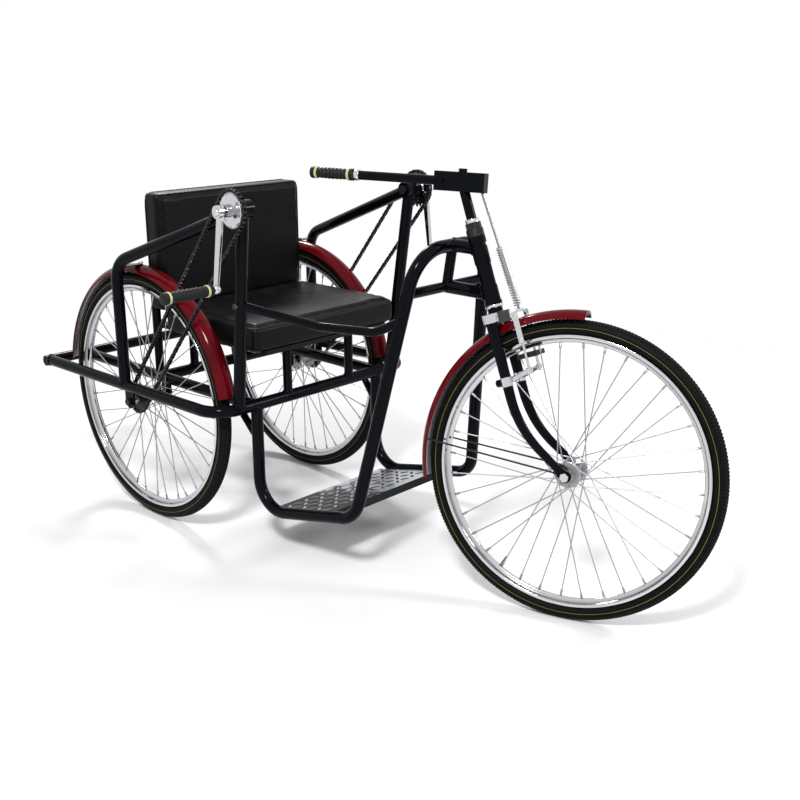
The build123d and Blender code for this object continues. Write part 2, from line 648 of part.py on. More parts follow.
STRAP_END_Y = RAIL_Y - TUBE_RADIUS / 2
STRAP_HEIGHT = TYRE_RADIUS + GUARD_RADIUS + SEAT_GAP
with BuildPart() as mudguard_straps:
    for side in SIDES.values():
        with Locations(at(POST_ARC_X, side * (WHEEL_Y + STRAP_END_Y) / 2, STRAP_HEIGHT)):
            Box(
                GUARD_STRAP_WIDTH, STRAP_END_Y - WHEEL_Y, GUARD_STRAP_SHEET,
                align=(Align.CENTER, Align.CENTER, Align.MIN),
            )
    for side in SIDES.values():
        tube(wheel_post_route(side), COPE, [WHEEL_POST_BEND], mode=Mode.SUBTRACT)
save(mudguard_straps, "mudguard_straps")

# Axle plates under the rails
with BuildPart() as axle_plates:
    for side in SIDES.values():
        for rail_y in (INNER_RAIL_Y, RAIL_Y):
            with BuildSketch(Plane.XZ.offset(-side * rail_y)):
                with Locations((AXLE_X, TYRE_RADIUS)):
                    Circle(DROPOUT_HALF_WIDTH)
                    Rectangle(
                        2 * DROPOUT_HALF_WIDTH, RAIL_HEIGHT - TYRE_RADIUS,
                        align=(Align.CENTER, Align.MIN),
                    )
                    Circle(AXLE_RADIUS + RUNNING_FIT, mode=Mode.SUBTRACT)
            extrude(amount=DROPOUT_THICKNESS / 2, both=True)
    tube(RAIL_ROUTE, COPE, RAIL_BENDS, mode=Mode.SUBTRACT)
    for side in SIDES.values():
        tube(inner_rail_route(side), COPE, mode=Mode.SUBTRACT)
save(axle_plates, "axle_plates")

# Rear axles with a nut outside each plate
PLATE_HALF = DROPOUT_THICKNESS / 2 + SEAT_GAP
with BuildPart() as rear_axles:
    for side in SIDES.values():
        inner_end = INNER_RAIL_Y - PLATE_HALF - NUT_LENGTH
        outer_end = RAIL_Y + PLATE_HALF + NUT_LENGTH
        tube([at(0, side * inner_end, TYRE_RADIUS), at(0, side * outer_end, TYRE_RADIUS)], AXLE_RADIUS)
        for nut_y in (inner_end + NUT_LENGTH / 2, outer_end - NUT_LENGTH / 2):
            with BuildSketch(Plane.XZ.offset(-side * nut_y)):
                with Locations((AXLE_X, TYRE_RADIUS)):
                    RegularPolygon(NUT_RADIUS, 6)
            extrude(amount=NUT_LENGTH / 2, both=True)
save(rear_axles, "rear_axles")

# Chains, each a loop of paired plates with a row of rollers along its two straight runs
CHAINWHEEL_RADIUS = CHAIN_PITCH / (2 * sin(pi / CHAINWHEEL_TEETH))
SPROCKET_RADIUS = CHAIN_PITCH / (2 * sin(pi / SPROCKET_TEETH))
CHAIN_RUN = Vector(CRANK_X, CRANK_HEIGHT - TYRE_RADIUS)
CHAIN_TILT = degrees(atan2(CHAIN_RUN.Y, CHAIN_RUN.X))
CHAIN_TAPER = degrees(atan2(CHAINWHEEL_RADIUS - SPROCKET_RADIUS, CHAIN_RUN.length))


def chain_outline(offset):
    """Circles round the sprocket and the chainwheel, offset from the chain's pitch line."""
    return [
        Edge.make_circle(radius + offset, Plane((x, z, 0)))
        for x, z, radius in (
            (AXLE_X, TYRE_RADIUS, SPROCKET_RADIUS),
            (AXLE_X + CRANK_X, CRANK_HEIGHT, CHAINWHEEL_RADIUS),
        )
    ]


with BuildPart() as chains:
    for side in SIDES.values():
        for plate in (-1, 1):
            plate_y = side * CHAIN_Y + plate * (LINK_GAP + LINK_PLATE) / 2
            with BuildSketch(Plane.XZ.offset(-plate_y)):
                make_hull(chain_outline(LINK_HEIGHT / 2))
                make_hull(chain_outline(-LINK_HEIGHT / 2), mode=Mode.SUBTRACT)
            extrude(amount=LINK_PLATE / 2, both=True)
        for run in (-1, 1):
            lean = radians(CHAIN_TILT + run * (90 + CHAIN_TAPER))
            ends = [
                Vector(AXLE_X + radius * cos(lean) + share * CHAIN_RUN.X, side * CHAIN_Y,
                       TYRE_RADIUS + radius * sin(lean) + share * CHAIN_RUN.Y)
                for radius, share in ((SPROCKET_RADIUS, 0), (CHAINWHEEL_RADIUS, 1))
            ]
            along = (ends[1] - ends[0]).normalized()
            margin = along * 2 * CHAIN_PITCH
            middle = (ends[0] + ends[1]) / 2
            length = (ends[1] - ends[0] - margin * 2).length
            with Locations(Plane(origin=middle, x_dir=along, z_dir=(0, 1, 0)).location):
                Box(length, LINK_HEIGHT / 2, LINK_GAP)
save(chains, "chains")


TOOTH_ROOT_DEPTH = CHAIN_PITCH / 3.2
TOOTH_TIP_RISE = CHAIN_PITCH / 4
TOOTH_ROOT_HALF = CHAIN_PITCH / 3.4
TOOTH_TIP_HALF = CHAIN_PITCH / 12


def toothed_disc(teeth, centre):
    """Sketch of a chain sprocket about a centre: a root circle with a tooth at each pitch."""
    pitch_radius = CHAIN_PITCH / (2 * sin(pi / teeth))
    root = pitch_radius - TOOTH_ROOT_DEPTH
    foot = root - TOOTH_ROOT_HALF / 2
    tip = pitch_radius + TOOTH_TIP_RISE
    with Locations(centre):
        Circle(root)
        with PolarLocations(0, teeth):
            Polygon(
                (foot, -TOOTH_ROOT_HALF), (root, -TOOTH_ROOT_HALF), (tip, -TOOTH_TIP_HALF),
                (tip, TOOTH_TIP_HALF), (root, TOOTH_ROOT_HALF), (foot, TOOTH_ROOT_HALF),
                align=None,
            )


def ribbed_grip(length, radius, bore, bore_length):
    """Rubber grip about the Y axis: a sleeve closed at one end, with ribs between two plain ends."""
    with BuildSketch(Plane.XY) as section:
        Rectangle(radius - GRIP_RIB_DEPTH, length, align=(Align.MIN, Align.MIN))
        for start in (0, length - GRIP_END):
            with Locations((0, start)):
                Rectangle(radius, GRIP_END, align=(Align.MIN, Align.MIN))
        pitch = (length - 2 * GRIP_END) / (GRIP_RIBS + 1)
        for rib in range(GRIP_RIBS):
            with Locations((0, GRIP_END + (rib + 1) * pitch)):
                Rectangle(radius, pitch * GRIP_RIB_SHARE, align=(Align.MIN, Align.CENTER))
        Rectangle(bore, bore_length, align=(Align.MIN, Align.MIN), mode=Mode.SUBTRACT)
    revolve(section.sketch, axis=Axis.Y)


# Hand cranks
EYE_Y = CRANK_HUB_Y + CRANK_HUB_LENGTH / 2 + CRANK_FLARE
GRIP_START = EYE_Y + CRANK_EYE_RADIUS + SEAT_GAP
CHAINWHEEL_OPENING = CHAINWHEEL_RADIUS - TOOTH_ROOT_DEPTH - CHAINWHEEL_RIM
CHAINWHEEL_CENTRE = CRANK_HUB_RADIUS + CHAINWHEEL_RIM / 2
for name, side in SIDES.items():
    axis_point = (AXLE_X + CRANK_X, CRANK_HEIGHT)

    with BuildPart() as crank_spindle:
        inner_end = SHELL_INNER_Y - SEAT_GAP - NUT_LENGTH
        outer_end = CRANK_HUB_Y + CRANK_HUB_LENGTH
        tube([at(CRANK_X, side * inner_end, CRANK_HEIGHT), at(CRANK_X, side * outer_end, CRANK_HEIGHT)],
             SPINDLE_RADIUS)
        with BuildSketch(Plane.XZ.offset(-side * (inner_end + NUT_LENGTH / 2))):
            with Locations(axis_point):
                RegularPolygon(CRANK_NUT_RADIUS, 6)
        extrude(amount=NUT_LENGTH / 2, both=True)
    save(crank_spindle, f"crank_spindle_{name}")

    with BuildPart() as chainwheel:
        with BuildSketch(Plane.XZ.offset(-side * CHAIN_Y)):
            toothed_disc(CHAINWHEEL_TEETH, axis_point)
            with Locations(axis_point):
                Circle(CHAINWHEEL_OPENING, mode=Mode.SUBTRACT)
                Circle(CHAINWHEEL_CENTRE)
                with PolarLocations(0, CHAINWHEEL_ARMS, start_angle=90):
                    Rectangle(
                        CHAINWHEEL_OPENING + CHAINWHEEL_RIM / 2, CHAINWHEEL_ARM,
                        align=(Align.MIN, Align.CENTER),
                    )
                Circle(SPINDLE_RADIUS + RUNNING_FIT, mode=Mode.SUBTRACT)
        extrude(amount=TOOTH_THICKNESS / 2, both=True)
        boss_start = CHAIN_Y + TOOTH_THICKNESS / 2
        boss_length = CRANK_HUB_Y - SEAT_GAP - boss_start
        with BuildSketch(Plane.XZ.offset(-side * (boss_start + boss_length / 2))):
            with Locations(axis_point):
                Circle(CRANK_HUB_RADIUS)
                Circle(SPINDLE_RADIUS + RUNNING_FIT, mode=Mode.SUBTRACT)
        extrude(amount=boss_length / 2, both=True)
    save(chainwheel, f"chainwheel_{name}")

    with BuildPart() as crank_arm:
        hub_y = side * (CRANK_HUB_Y + CRANK_HUB_LENGTH / 2)
        hub = at(CRANK_X, hub_y, CRANK_HEIGHT)
        eye = at(CRANK_X, side * EYE_Y, CRANK_HEIGHT - CRANK_LENGTH)
        down = (eye - hub).normalized()
        for point, width in ((hub, CRANK_ROOT_WIDTH), (eye, CRANK_TIP_WIDTH)):
            with BuildSketch(Plane(origin=point, x_dir=(1, 0, 0), z_dir=down)):
                RectangleRounded(width, CRANK_ARM_DEPTH, CRANK_ARM_EDGE)
        loft()
        reach = Vector(0, CRANK_HUB_LENGTH, 0)
        tube([hub - reach / 2, hub + reach / 2], CRANK_HUB_RADIUS)
        with Locations(eye):
            Sphere(CRANK_EYE_RADIUS)
        tube([hub - reach, hub + reach], SPINDLE_RADIUS + RUNNING_FIT, mode=Mode.SUBTRACT)
        pin_end = side * (GRIP_START + GRIP_LENGTH - GRIP_RADIUS)
        tube([eye, at(CRANK_X, pin_end, CRANK_HEIGHT - CRANK_LENGTH)], GRIP_PIN_RADIUS)
    save(crank_arm, f"crank_arm_{name}")

    with BuildPart() as crank_grip:
        bore_length = GRIP_LENGTH - GRIP_RADIUS + SEAT_GAP
        ribbed_grip(GRIP_LENGTH, GRIP_RADIUS, GRIP_PIN_RADIUS + RUNNING_FIT, bore_length)
    grip_place = Location(at(CRANK_X, side * GRIP_START, CRANK_HEIGHT - CRANK_LENGTH))
    if side < 0:
        grip_place = grip_place * Location((0, 0, 0), (0, 0, 180))
    save(crank_grip, f"crank_grip_{name}", grip_place)


def make_wheel(name, place, hub_span, flanges, axle_radius):
    """Tyre, rim and spoked hub of one wheel about the Y axis.

    hub_span and flanges are the ends of the hub and the places of its flanges along Y.
    """
    with BuildPart() as tyre:
        with BuildSketch(Plane.XY):
            with Locations((CORE_RADIUS, 0)):
                Circle(TYRE_SECTION)
            Rectangle(RIM_SEAT_RADIUS, TYRE_WIDTH, align=(Align.MIN, Align.CENTER), mode=Mode.SUBTRACT)
        revolve(axis=Axis.Y)
    save(tyre, f"tyre_{name}", place)

    seat = RIM_SEAT_RADIUS - SEAT_GAP
    half = RIM_WIDTH / 2
    with BuildPart() as rim:
        with BuildSketch(Plane.XY):
            with BuildLine():
                Polyline(
                    (seat, 0), (seat, half), (seat - RIM_WALL, half),
                    (seat - RIM_WALL - RIM_ROUND, half - RIM_ROUND),
                    (seat - RIM_LAND, RIM_RIDGE_HALF + RIM_ROUND), (seat - RIM_DEPTH, RIM_RIDGE_HALF),
                    (seat - RIM_DEPTH, 0), close=True,
                )
            make_face()
            mirror(about=Plane.XZ)
        revolve(axis=Axis.Y)
    save(rim, f"rim_{name}", place)

    low, high = sorted(hub_span)
    inner, outer = sorted(flanges)
    web = FLANGE_THICKNESS / 2
    with BuildPart() as hub:
        with BuildSketch(Plane.XY):
            with BuildLine():
                Polyline(
                    (axle_radius + RUNNING_FIT, low), (BOSS_RADIUS, low), (BOSS_RADIUS, inner - web),
                    (FLANGE_RADIUS, inner - web), (FLANGE_RADIUS, inner + web), (BARREL_RADIUS, inner + web),
                    (BARREL_RADIUS, outer - web), (FLANGE_RADIUS, outer - web), (FLANGE_RADIUS, outer + web),
                    (BOSS_RADIUS, outer + web), (BOSS_RADIUS, high), (axle_radius + RUNNING_FIT, high),
                    close=True,
                )
            make_face()
        revolve(axis=Axis.Y)
        hole = FLANGE_RADIUS - 2 * SPOKE_RADIUS
        reach = seat - RIM_DEPTH - SEAT_GAP
        pairs = SPOKES // 4
        for flange, flange_y in enumerate((inner, outer)):
            for lay in (-1, 1):
                starts = []
                for spoke in range(pairs):
                    rim_angle = radians((4 * spoke + 2 * (lay > 0) + flange) * 360 / SPOKES)
                    hub_angle = rim_angle - lay * radians(SPOKE_SWEEP)
                    start = Vector(hole * cos(hub_angle), flange_y + lay * web, hole * sin(hub_angle))
                    end = Vector(reach * cos(rim_angle), 0, reach * sin(rim_angle))
                    length = (end - start).length
                    starts.append(Plane(origin=start, z_dir=end - start).location)
                with Locations(*starts):
                    Cylinder(SPOKE_RADIUS, length, align=(Align.CENTER, Align.CENTER, Align.MIN))
    save(hub, f"hub_{name}", place)


# Rear wheels and their sprockets
PLATE_FACE = DROPOUT_THICKNESS / 2 + HUB_END_GAP
for name, side in SIDES.items():
    place = Location(at(0, side * WHEEL_Y, TYRE_RADIUS))
    inner_end = side * (INNER_RAIL_Y + PLATE_FACE - WHEEL_Y)
    outer_end = side * (RAIL_Y - PLATE_FACE - WHEEL_Y)
    make_wheel(f"rear_{name}", place, (inner_end, outer_end),
               (-side * REAR_FLANGE_INNER, side * REAR_FLANGE_OUTER), AXLE_RADIUS)

    with BuildPart() as sprocket:
        with BuildSketch(Plane.XZ.offset(-side * CHAIN_Y)):
            toothed_disc(SPROCKET_TEETH, (AXLE_X, TYRE_RADIUS))
            with Locations((AXLE_X, TYRE_RADIUS)):
                Circle(BOSS_RADIUS + RUNNING_FIT, mode=Mode.SUBTRACT)
        extrude(amount=TOOTH_THICKNESS / 2, both=True)
    save(sprocket, f"sprocket_{name}")

# Front wheel, in the steering's own frame
FRONT_WHEEL = STEERING * Location((FORK_RAKE, 0, FRONT_AXLE_LEVEL))
make_wheel("front", FRONT_WHEEL, (-FRONT_HUB_HALF, FRONT_HUB_HALF),
           (-FRONT_FLANGE_Y, FRONT_FLANGE_Y), FRONT_AXLE_RADIUS)

# Fork: a crown and two blades that curve forward to the axle ends
with BuildPart() as fork:
    with Locations((0, 0, CROWN_BOTTOM)):
        Box(
            CROWN_DEPTH, 2 * (CROWN_Y + BLADE_RADIUS + CROWN_WALL), CROWN_THICKNESS,
            align=(Align.CENTER, Align.CENTER, Align.MIN),
        )
    fillet(fork.edges().filter_by(Axis.Z), BLADE_RADIUS)
    for side in SIDES.values():
        y = side * BLADE_Y
        top = CROWN_BOTTOM + CROWN_THICKNESS / 2
        corner = FRONT_AXLE_LEVEL + BLADE_CORNER
        axle = Vector(FORK_RAKE, y, FRONT_AXLE_LEVEL)
        elbow = Vector(0, side * (CROWN_Y + BLADE_Y) / 2, corner)
        with BuildLine() as route:
            FilletPolyline((0, side * CROWN_Y, top), elbow, axle, radius=[BLADE_BEND])
        with BuildSketch(Plane(origin=route.line @ 0, z_dir=route.line % 0)) as blade_root:
            Circle(BLADE_RADIUS)
        with BuildSketch(Plane(origin=route.line @ 1, z_dir=route.line % 1)) as blade_tip:
            Circle(BLADE_TIP_RADIUS)
        sweep([blade_root.sketch, blade_tip.sketch], path=route.line, multisection=True)
        with Locations((0, side * CROWN_Y, CROWN_BOTTOM - CROWN_SOCKET)):
            Cylinder(
                BLADE_RADIUS + CROWN_WALL, 2 * CROWN_SOCKET, align=(Align.CENTER, Align.CENTER, Align.MIN)
            )
        with BuildSketch(Plane.XZ.offset(-y)):
            with Locations((FORK_RAKE, FRONT_AXLE_LEVEL)):
                Circle(FORK_END_CLEAR)
        extrude(amount=BLADE_RADIUS, both=True, mode=Mode.SUBTRACT)
        rise = (elbow - axle).normalized() * FORK_END_REACH
        with BuildSketch(Plane.XZ.offset(-y)):
            make_hull([
                Edge.make_circle(FORK_END_RADIUS, Plane((FORK_RAKE, FRONT_AXLE_LEVEL, 0))),
                Edge.make_circle(BLADE_TIP_RADIUS, Plane((FORK_RAKE + rise.X, FRONT_AXLE_LEVEL + rise.Z, 0))),
            ])
            with Locations((FORK_RAKE, FRONT_AXLE_LEVEL)):
                Circle(FRONT_AXLE_RADIUS + RUNNING_FIT, mode=Mode.SUBTRACT)
        extrude(amount=FORK_END_THICKNESS / 2, both=True)
save(fork, "fork", STEERING)

# Steerer, from the crown through the head tube to the tiller block
TILLER_PLACE = Location((0, 0, TILLER_LEVEL), (0, STEER_LEAN, 0))
TILLER = STEERING * TILLER_PLACE
BLOCK_MIDDLE = (BLOCK_FRONT - BLOCK_REAR) / 2
STEERER_BASE = CROWN_BOTTOM + CROWN_THICKNESS + SEAT_GAP
with BuildPart() as steerer:
    tube([(0, 0, STEERER_BASE), (0, 0, TILLER_LEVEL)], STEERER_RADIUS)
    tube([(0, 0, STEERER_BASE), (0, 0, HEAD_BOTTOM - RACE_GAP)], HEAD_RADIUS)
    with Locations(TILLER_PLACE * Location((BLOCK_MIDDLE, 0, 0))):
        Box(BLOCK_FRONT + BLOCK_REAR, BLOCK_WIDTH, BLOCK_DEPTH + 2 * SEAT_GAP, mode=Mode.SUBTRACT)
save(steerer, "steerer", STEERING)

# Headset nut over the head tube: a cup, a hexagon and a ring
with BuildPart() as headset_nut:
    cup_low = HEAD_TOP + RACE_GAP
    nut_low = cup_low + HEADSET_CUP_LENGTH
    ring_low = nut_low + HEADSET_NUT_LENGTH
    ring_top = ring_low + HEADSET_RING_LENGTH
    tube([(0, 0, cup_low), (0, 0, nut_low)], HEADSET_CUP_RADIUS)
    with BuildSketch(Plane.XY.offset(nut_low)):
        RegularPolygon(HEADSET_NUT_RADIUS, 6)
    extrude(amount=HEADSET_NUT_LENGTH)
    tube([(0, 0, ring_low), (0, 0, ring_top)], HEADSET_RING_RADIUS)
    tube([(0, 0, HEAD_BOTTOM), (0, 0, TILLER_LEVEL)], STEERER_RADIUS + RUNNING_FIT, mode=Mode.SUBTRACT)
save(headset_nut, "headset_nut", STEERING)

# Tiller block, a box channel across the top of the steerer, level when the wheel is straight.
# Its nose is closed, and a bolt head on top draws it down on the steerer.
with BuildPart() as tiller_block:
    with Locations((-BLOCK_REAR, 0, 0)):
        Box(
            BLOCK_FRONT + BLOCK_REAR, BLOCK_WIDTH, BLOCK_DEPTH,
            align=(Align.MIN, Align.CENTER, Align.CENTER),
        )
    fillet(tiller_block.edges().filter_by(Axis.Z).group_by(Axis.X)[-1], BLOCK_NOSE)
    with Locations((-BLOCK_REAR, 0, 0)):
        Box(
            BLOCK_FRONT + BLOCK_REAR - BLOCK_PLUG, BLOCK_WIDTH - 2 * BLOCK_WALL, BLOCK_DEPTH - 2 * BLOCK_WALL,
            align=(Align.MIN, Align.CENTER, Align.CENTER), mode=Mode.SUBTRACT,
        )
    with BuildSketch(Plane.XY.offset(BLOCK_DEPTH / 2)):
        RegularPolygon(BLOCK_BOLT_RADIUS, 6)
    extrude(amount=BLOCK_BOLT_HEIGHT)
    with BuildSketch(Plane.XZ):
        with Locations((PIVOT_X, 0)):
            Circle(PIVOT_RADIUS + RUNNING_FIT)
    extrude(amount=BLOCK_WIDTH, both=True, mode=Mode.SUBTRACT)
save(tiller_block, "tiller_block", TILLER)

# Tiller bar on its pivot pin in the block
with BuildPart() as tiller_bar:
    tube([(PIVOT_X + 2 * TILLER_RADIUS, 0, 0), (-TILLER_REACH + GRIP_CAP, 0, 0)], TILLER_RADIUS)
    with BuildSketch(Plane.XZ):
        with Locations((PIVOT_X, 0)):
            Circle(PIVOT_RADIUS)
    extrude(amount=BLOCK_WIDTH / 2 + PIVOT_HEAD, both=True)
save(tiller_bar, "tiller_bar", TILLER)

# Tiller grip, a sleeve over the end of the bar
with BuildPart() as tiller_grip:
    ribbed_grip(TILLER_GRIP_LENGTH, TILLER_GRIP_RADIUS, TILLER_RADIUS + RUNNING_FIT,
                TILLER_GRIP_LENGTH - GRIP_CAP + SEAT_GAP)
GRIP_PLACE = Location((-TILLER_REACH + TILLER_GRIP_LENGTH, 0, 0), (0, 0, 90))
save(tiller_grip, "tiller_grip", TILLER * GRIP_PLACE)

# Front mudguard, with the lug that bolts it under the crown
LUG_REACH = sqrt(FRONT_GUARD_RADIUS**2 - (FORK_RAKE + GUARD_LUG / 2)**2) - GUARD_SHEET
LUG_TOP = CROWN_BOTTOM - SEAT_GAP - FRONT_AXLE_LEVEL
with BuildPart() as front_mudguard:
    guard_shell(FRONT_GUARD_RADIUS, FRONT_GUARD_TIP, FRONT_GUARD_TAIL)
    with Locations(Location((0, 0, 0), (0, FRONT_GUARD_TIP, 0)) * Location((-FORK_RAKE, 0, LUG_REACH))):
        Box(
            GUARD_LUG, GUARD_LUG, LUG_TOP - LUG_REACH,
            align=(Align.CENTER, Align.CENTER, Align.MIN),
        )
save(front_mudguard, "front_mudguard", FRONT_WHEEL * Location((0, 0, 0), (0, -FRONT_GUARD_TIP, 0)))

# Stays from the axle back to the edges of the front mudguard
with BuildPart() as mudguard_stays:
    for side in SIDES.values():
        lean = radians(STAY_ANGLE)
        ring_y = side * STAY_AXLE_Y
        edge_y = side * (GUARD_WIDTH / 2 + GUARD_BEAD + STAY_RADIUS + SEAT_GAP)
        ring = FRONT_AXLE_RADIUS + RUNNING_FIT + 2 * STAY_RADIUS
        edge = FRONT_GUARD_RADIUS - GUARD_CROWN
        near = ring - STAY_RADIUS
        start = (near * cos(lean), ring_y, near * sin(lean))
        tube([start, (edge * cos(lean), edge_y, edge * sin(lean))], STAY_RADIUS)
        with BuildSketch(Plane.XZ.offset(-ring_y)):
            Circle(ring)
        extrude(amount=STAY_RADIUS, both=True)
    tube([(0, -2 * STAY_AXLE_Y, 0), (0, 2 * STAY_AXLE_Y, 0)], FRONT_AXLE_RADIUS + RUNNING_FIT,
         mode=Mode.SUBTRACT)
save(mudguard_stays, "mudguard_stays", FRONT_WHEEL)

# Front axle with its nuts
with BuildPart() as front_axle:
    nut_start = BLADE_Y + FORK_END_THICKNESS / 2 + SEAT_GAP
    axle_end = nut_start + NUT_LENGTH
    tube([(0, -axle_end, 0), (0, axle_end, 0)], FRONT_AXLE_RADIUS)
    for side in SIDES.values():
        with BuildSketch(Plane.XZ.offset(-side * (nut_start + NUT_LENGTH / 2))):
            RegularPolygon(NUT_RADIUS, 6)
        extrude(amount=NUT_LENGTH / 2, both=True)
save(front_axle, "front_axle", FRONT_WHEEL)

# Brake stirrup, a bent rod over the mudguard with a leg on each side of the rim
SHOE_TOP = FRONT_AXLE_LEVEL + RIM_SEAT_RADIUS - RIM_DEPTH - SHOE_CLEARANCE
SHOE_BOTTOM = SHOE_TOP - SHOE_DEPTH
with BuildPart() as brake_stirrup:
    tube(
        [
            (STIRRUP_X, -STIRRUP_Y, SHOE_BOTTOM), (STIRRUP_X, -STIRRUP_Y, STIRRUP_TOP),
            (STIRRUP_X, STIRRUP_Y, STIRRUP_TOP), (STIRRUP_X, STIRRUP_Y, SHOE_BOTTOM),
        ],
        STIRRUP_RADIUS, [STIRRUP_BEND, STIRRUP_BEND],
    )
save(brake_stirrup, "brake_stirrup", STEERING)

# Brake rod, from the tiller block down to the stirrup, with its spring tube
with BuildPart() as brake_rod:
    low = Vector(STIRRUP_X, 0, STIRRUP_TOP + STIRRUP_RADIUS + SEAT_GAP)
    hook = Location((BLOCK_FRONT - ROD_INSET, 0, BRAKE_ROD_RADIUS - BLOCK_DEPTH / 2))
    high = (TILLER_PLACE * hook).position
    tube([low, high], BRAKE_ROD_RADIUS)
    tube([low + (high - low) * share for share in (SPRING_START, SPRING_END)], SPRING_RADIUS)
    with Locations(TILLER_PLACE * Location((BLOCK_MIDDLE, 0, 0))):
        Box(
            BLOCK_FRONT + BLOCK_REAR + BLOCK_DEPTH, BLOCK_WIDTH, BLOCK_DEPTH + 2 * SEAT_GAP,
            mode=Mode.SUBTRACT,
        )
save(brake_rod, "brake_rod", STEERING)

# Brake shoes beside the stirrup's legs, under the rim
with BuildPart() as brake_shoes:
    for side in SIDES.values():
        outer = STIRRUP_Y - STIRRUP_RADIUS - SEAT_GAP
        with Locations((STIRRUP_X, side * (outer + SHOE_INNER_Y) / 2, SHOE_BOTTOM)):
            Box(
                SHOE_LENGTH, outer - SHOE_INNER_Y, SHOE_DEPTH,
                align=(Align.CENTER, Align.CENTER, Align.MIN),
            )
save(brake_shoes, "brake_shoes", STEERING)
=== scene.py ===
import json
import logging
import math
from dataclasses import dataclass, field
from enum import Enum
from typing import Optional, Sequence

import bmesh
import bpy
import numpy as np
from mathutils import Matrix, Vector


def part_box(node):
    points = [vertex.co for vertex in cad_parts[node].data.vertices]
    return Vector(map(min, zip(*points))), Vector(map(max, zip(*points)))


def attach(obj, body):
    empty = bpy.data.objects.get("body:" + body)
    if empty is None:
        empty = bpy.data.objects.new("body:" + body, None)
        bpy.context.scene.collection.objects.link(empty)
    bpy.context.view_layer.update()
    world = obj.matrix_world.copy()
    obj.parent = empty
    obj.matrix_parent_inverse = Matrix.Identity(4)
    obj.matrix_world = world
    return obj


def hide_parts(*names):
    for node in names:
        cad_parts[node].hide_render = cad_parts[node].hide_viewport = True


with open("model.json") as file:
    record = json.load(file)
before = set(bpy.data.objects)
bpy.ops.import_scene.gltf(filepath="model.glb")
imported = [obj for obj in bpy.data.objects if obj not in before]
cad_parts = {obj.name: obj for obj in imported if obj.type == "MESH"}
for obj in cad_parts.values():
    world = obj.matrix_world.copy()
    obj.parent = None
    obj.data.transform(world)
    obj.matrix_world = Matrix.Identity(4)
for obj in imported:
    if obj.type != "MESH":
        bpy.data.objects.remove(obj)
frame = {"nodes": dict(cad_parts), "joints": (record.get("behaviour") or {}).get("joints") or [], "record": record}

# Looks of the hand-cranked tricycle. Metres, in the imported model's own frame:
# +X forward, +Y the rider's left, +Z up, floor at Z = 0.

LOG = logging.getLogger("tricycle")
Array = np.ndarray
Node = bpy.types.Node
Socket = bpy.types.NodeSocket
Tree = bpy.types.NodeTree
Colour = tuple[float, float, float]
Pair = tuple[float, float]
TURN = 2 * math.pi
UP = np.array([0.0, 0.0, 1.0])
LEFT = np.array([0.0, 1.0, 0.0])
FORWARD = np.array([1.0, 0.0, 0.0])
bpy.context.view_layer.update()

# Steps and shares of the small round shapes
SLAB_STEPS = 24
NUT_SIDES = 6
NUT_EDGE = 0.12
DOME_RINGS = 7
DOME_STEPS = 18
DOME_TUCK = 0.0005
MERGE_REACH = 1e-6


class Side(Enum):
    """A side of the tricycle, with the sign of its Y."""

    RIGHT = -1
    LEFT = 1

    @property
    def word(self) -> str:
        """Name of the side in node and body names."""
        return self.name.lower()


class Slot(Enum):
    """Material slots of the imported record."""

    FRAME = "frame_black"
    GUARD = "guard_maroon"
    CHROME = "bright_chrome"
    TYRE = "black_tyre"
    VINYL = "seat_vinyl"
    BOARD = "seat_base"
    GRIP = "grip_rubber"
    BRAKE = "brake_rubber"
    PLATE = "chequer_plate"
    STEEL = "dark_steel"


# Arrays of points and faces


@dataclass(frozen=True)
class Place:
    """A local frame: an origin and three unit axes of the row frame."""

    origin: Array
    x: Array
    y: Array
    z: Array

    def direction(self, local: Array) -> Array:
        """Carry local directions into the row frame: x X + y Y + z Z."""
        return local @ np.stack([self.x, self.y, self.z])

    def points(self, local: Array) -> Array:
        """Carry local points into the row frame: the origin and their direction from it."""
        return self.origin + self.direction(local)

    def moved(self, x: float = 0.0, y: float = 0.0, z: float = 0.0) -> "Place":
        """The same axes about another local point."""
        return Place(self.points(np.array([x, y, z])), self.x, self.y, self.z)

    def tipped(self) -> "Place":
        """The frame tipped about its x, so that its y runs where its z did."""
        return Place(self.origin, self.x, self.z, -self.y)


@dataclass
class Surface:
    """Points and quads of a mesh, with values carried at its points."""

    points: Array
    quads: Array
    marks: dict[str, Array] = field(default_factory=dict)

    def placed(self, place: Place) -> "Surface":
        """The surface carried from a local frame into the row frame."""
        return Surface(place.points(self.points), self.quads, self.marks)


def unit(vector: Array) -> Array:
    """Vectors along the last axis at length one."""
    return vector / np.linalg.norm(vector, axis=-1, keepdims=True)


def upright(origin: Sequence[float], axis: Sequence[float]) -> Place:
    """Frame whose y runs along an axis and whose z is as near up as that allows.

    Args:
        origin: The frame's origin in the row frame.
        axis: Direction of its y.

    Returns:
        The frame.
    """
    y = unit(np.array(axis, float))
    x = unit(np.cross(y, UP))
    return Place(np.array(origin, float), x, y, np.cross(x, y))


def facing(point: Array, out: Array) -> Place:
    """Frame at a point whose x runs forward and whose y looks the given way."""
    return Place(point, FORWARD, out, np.cross(FORWARD, out))


def full_turn(steps: int) -> Array:
    """Angles of even steps round a full turn."""
    return np.arange(steps) * TURN / steps


def compass(angle: Array | float) -> Array:
    """Unit pairs of angles: (cos a, sin a)."""
    return np.stack([np.cos(angle), np.sin(angle)], axis=-1)


def about_axle(radius: Array | float, along: Array, angle: Array) -> Array:
    """Points about the y axis: (r cos a, along, r sin a)."""
    radius, along, angle = np.broadcast_arrays(radius, along, angle)
    return np.stack([radius * np.cos(angle), along, radius * np.sin(angle)], axis=-1)


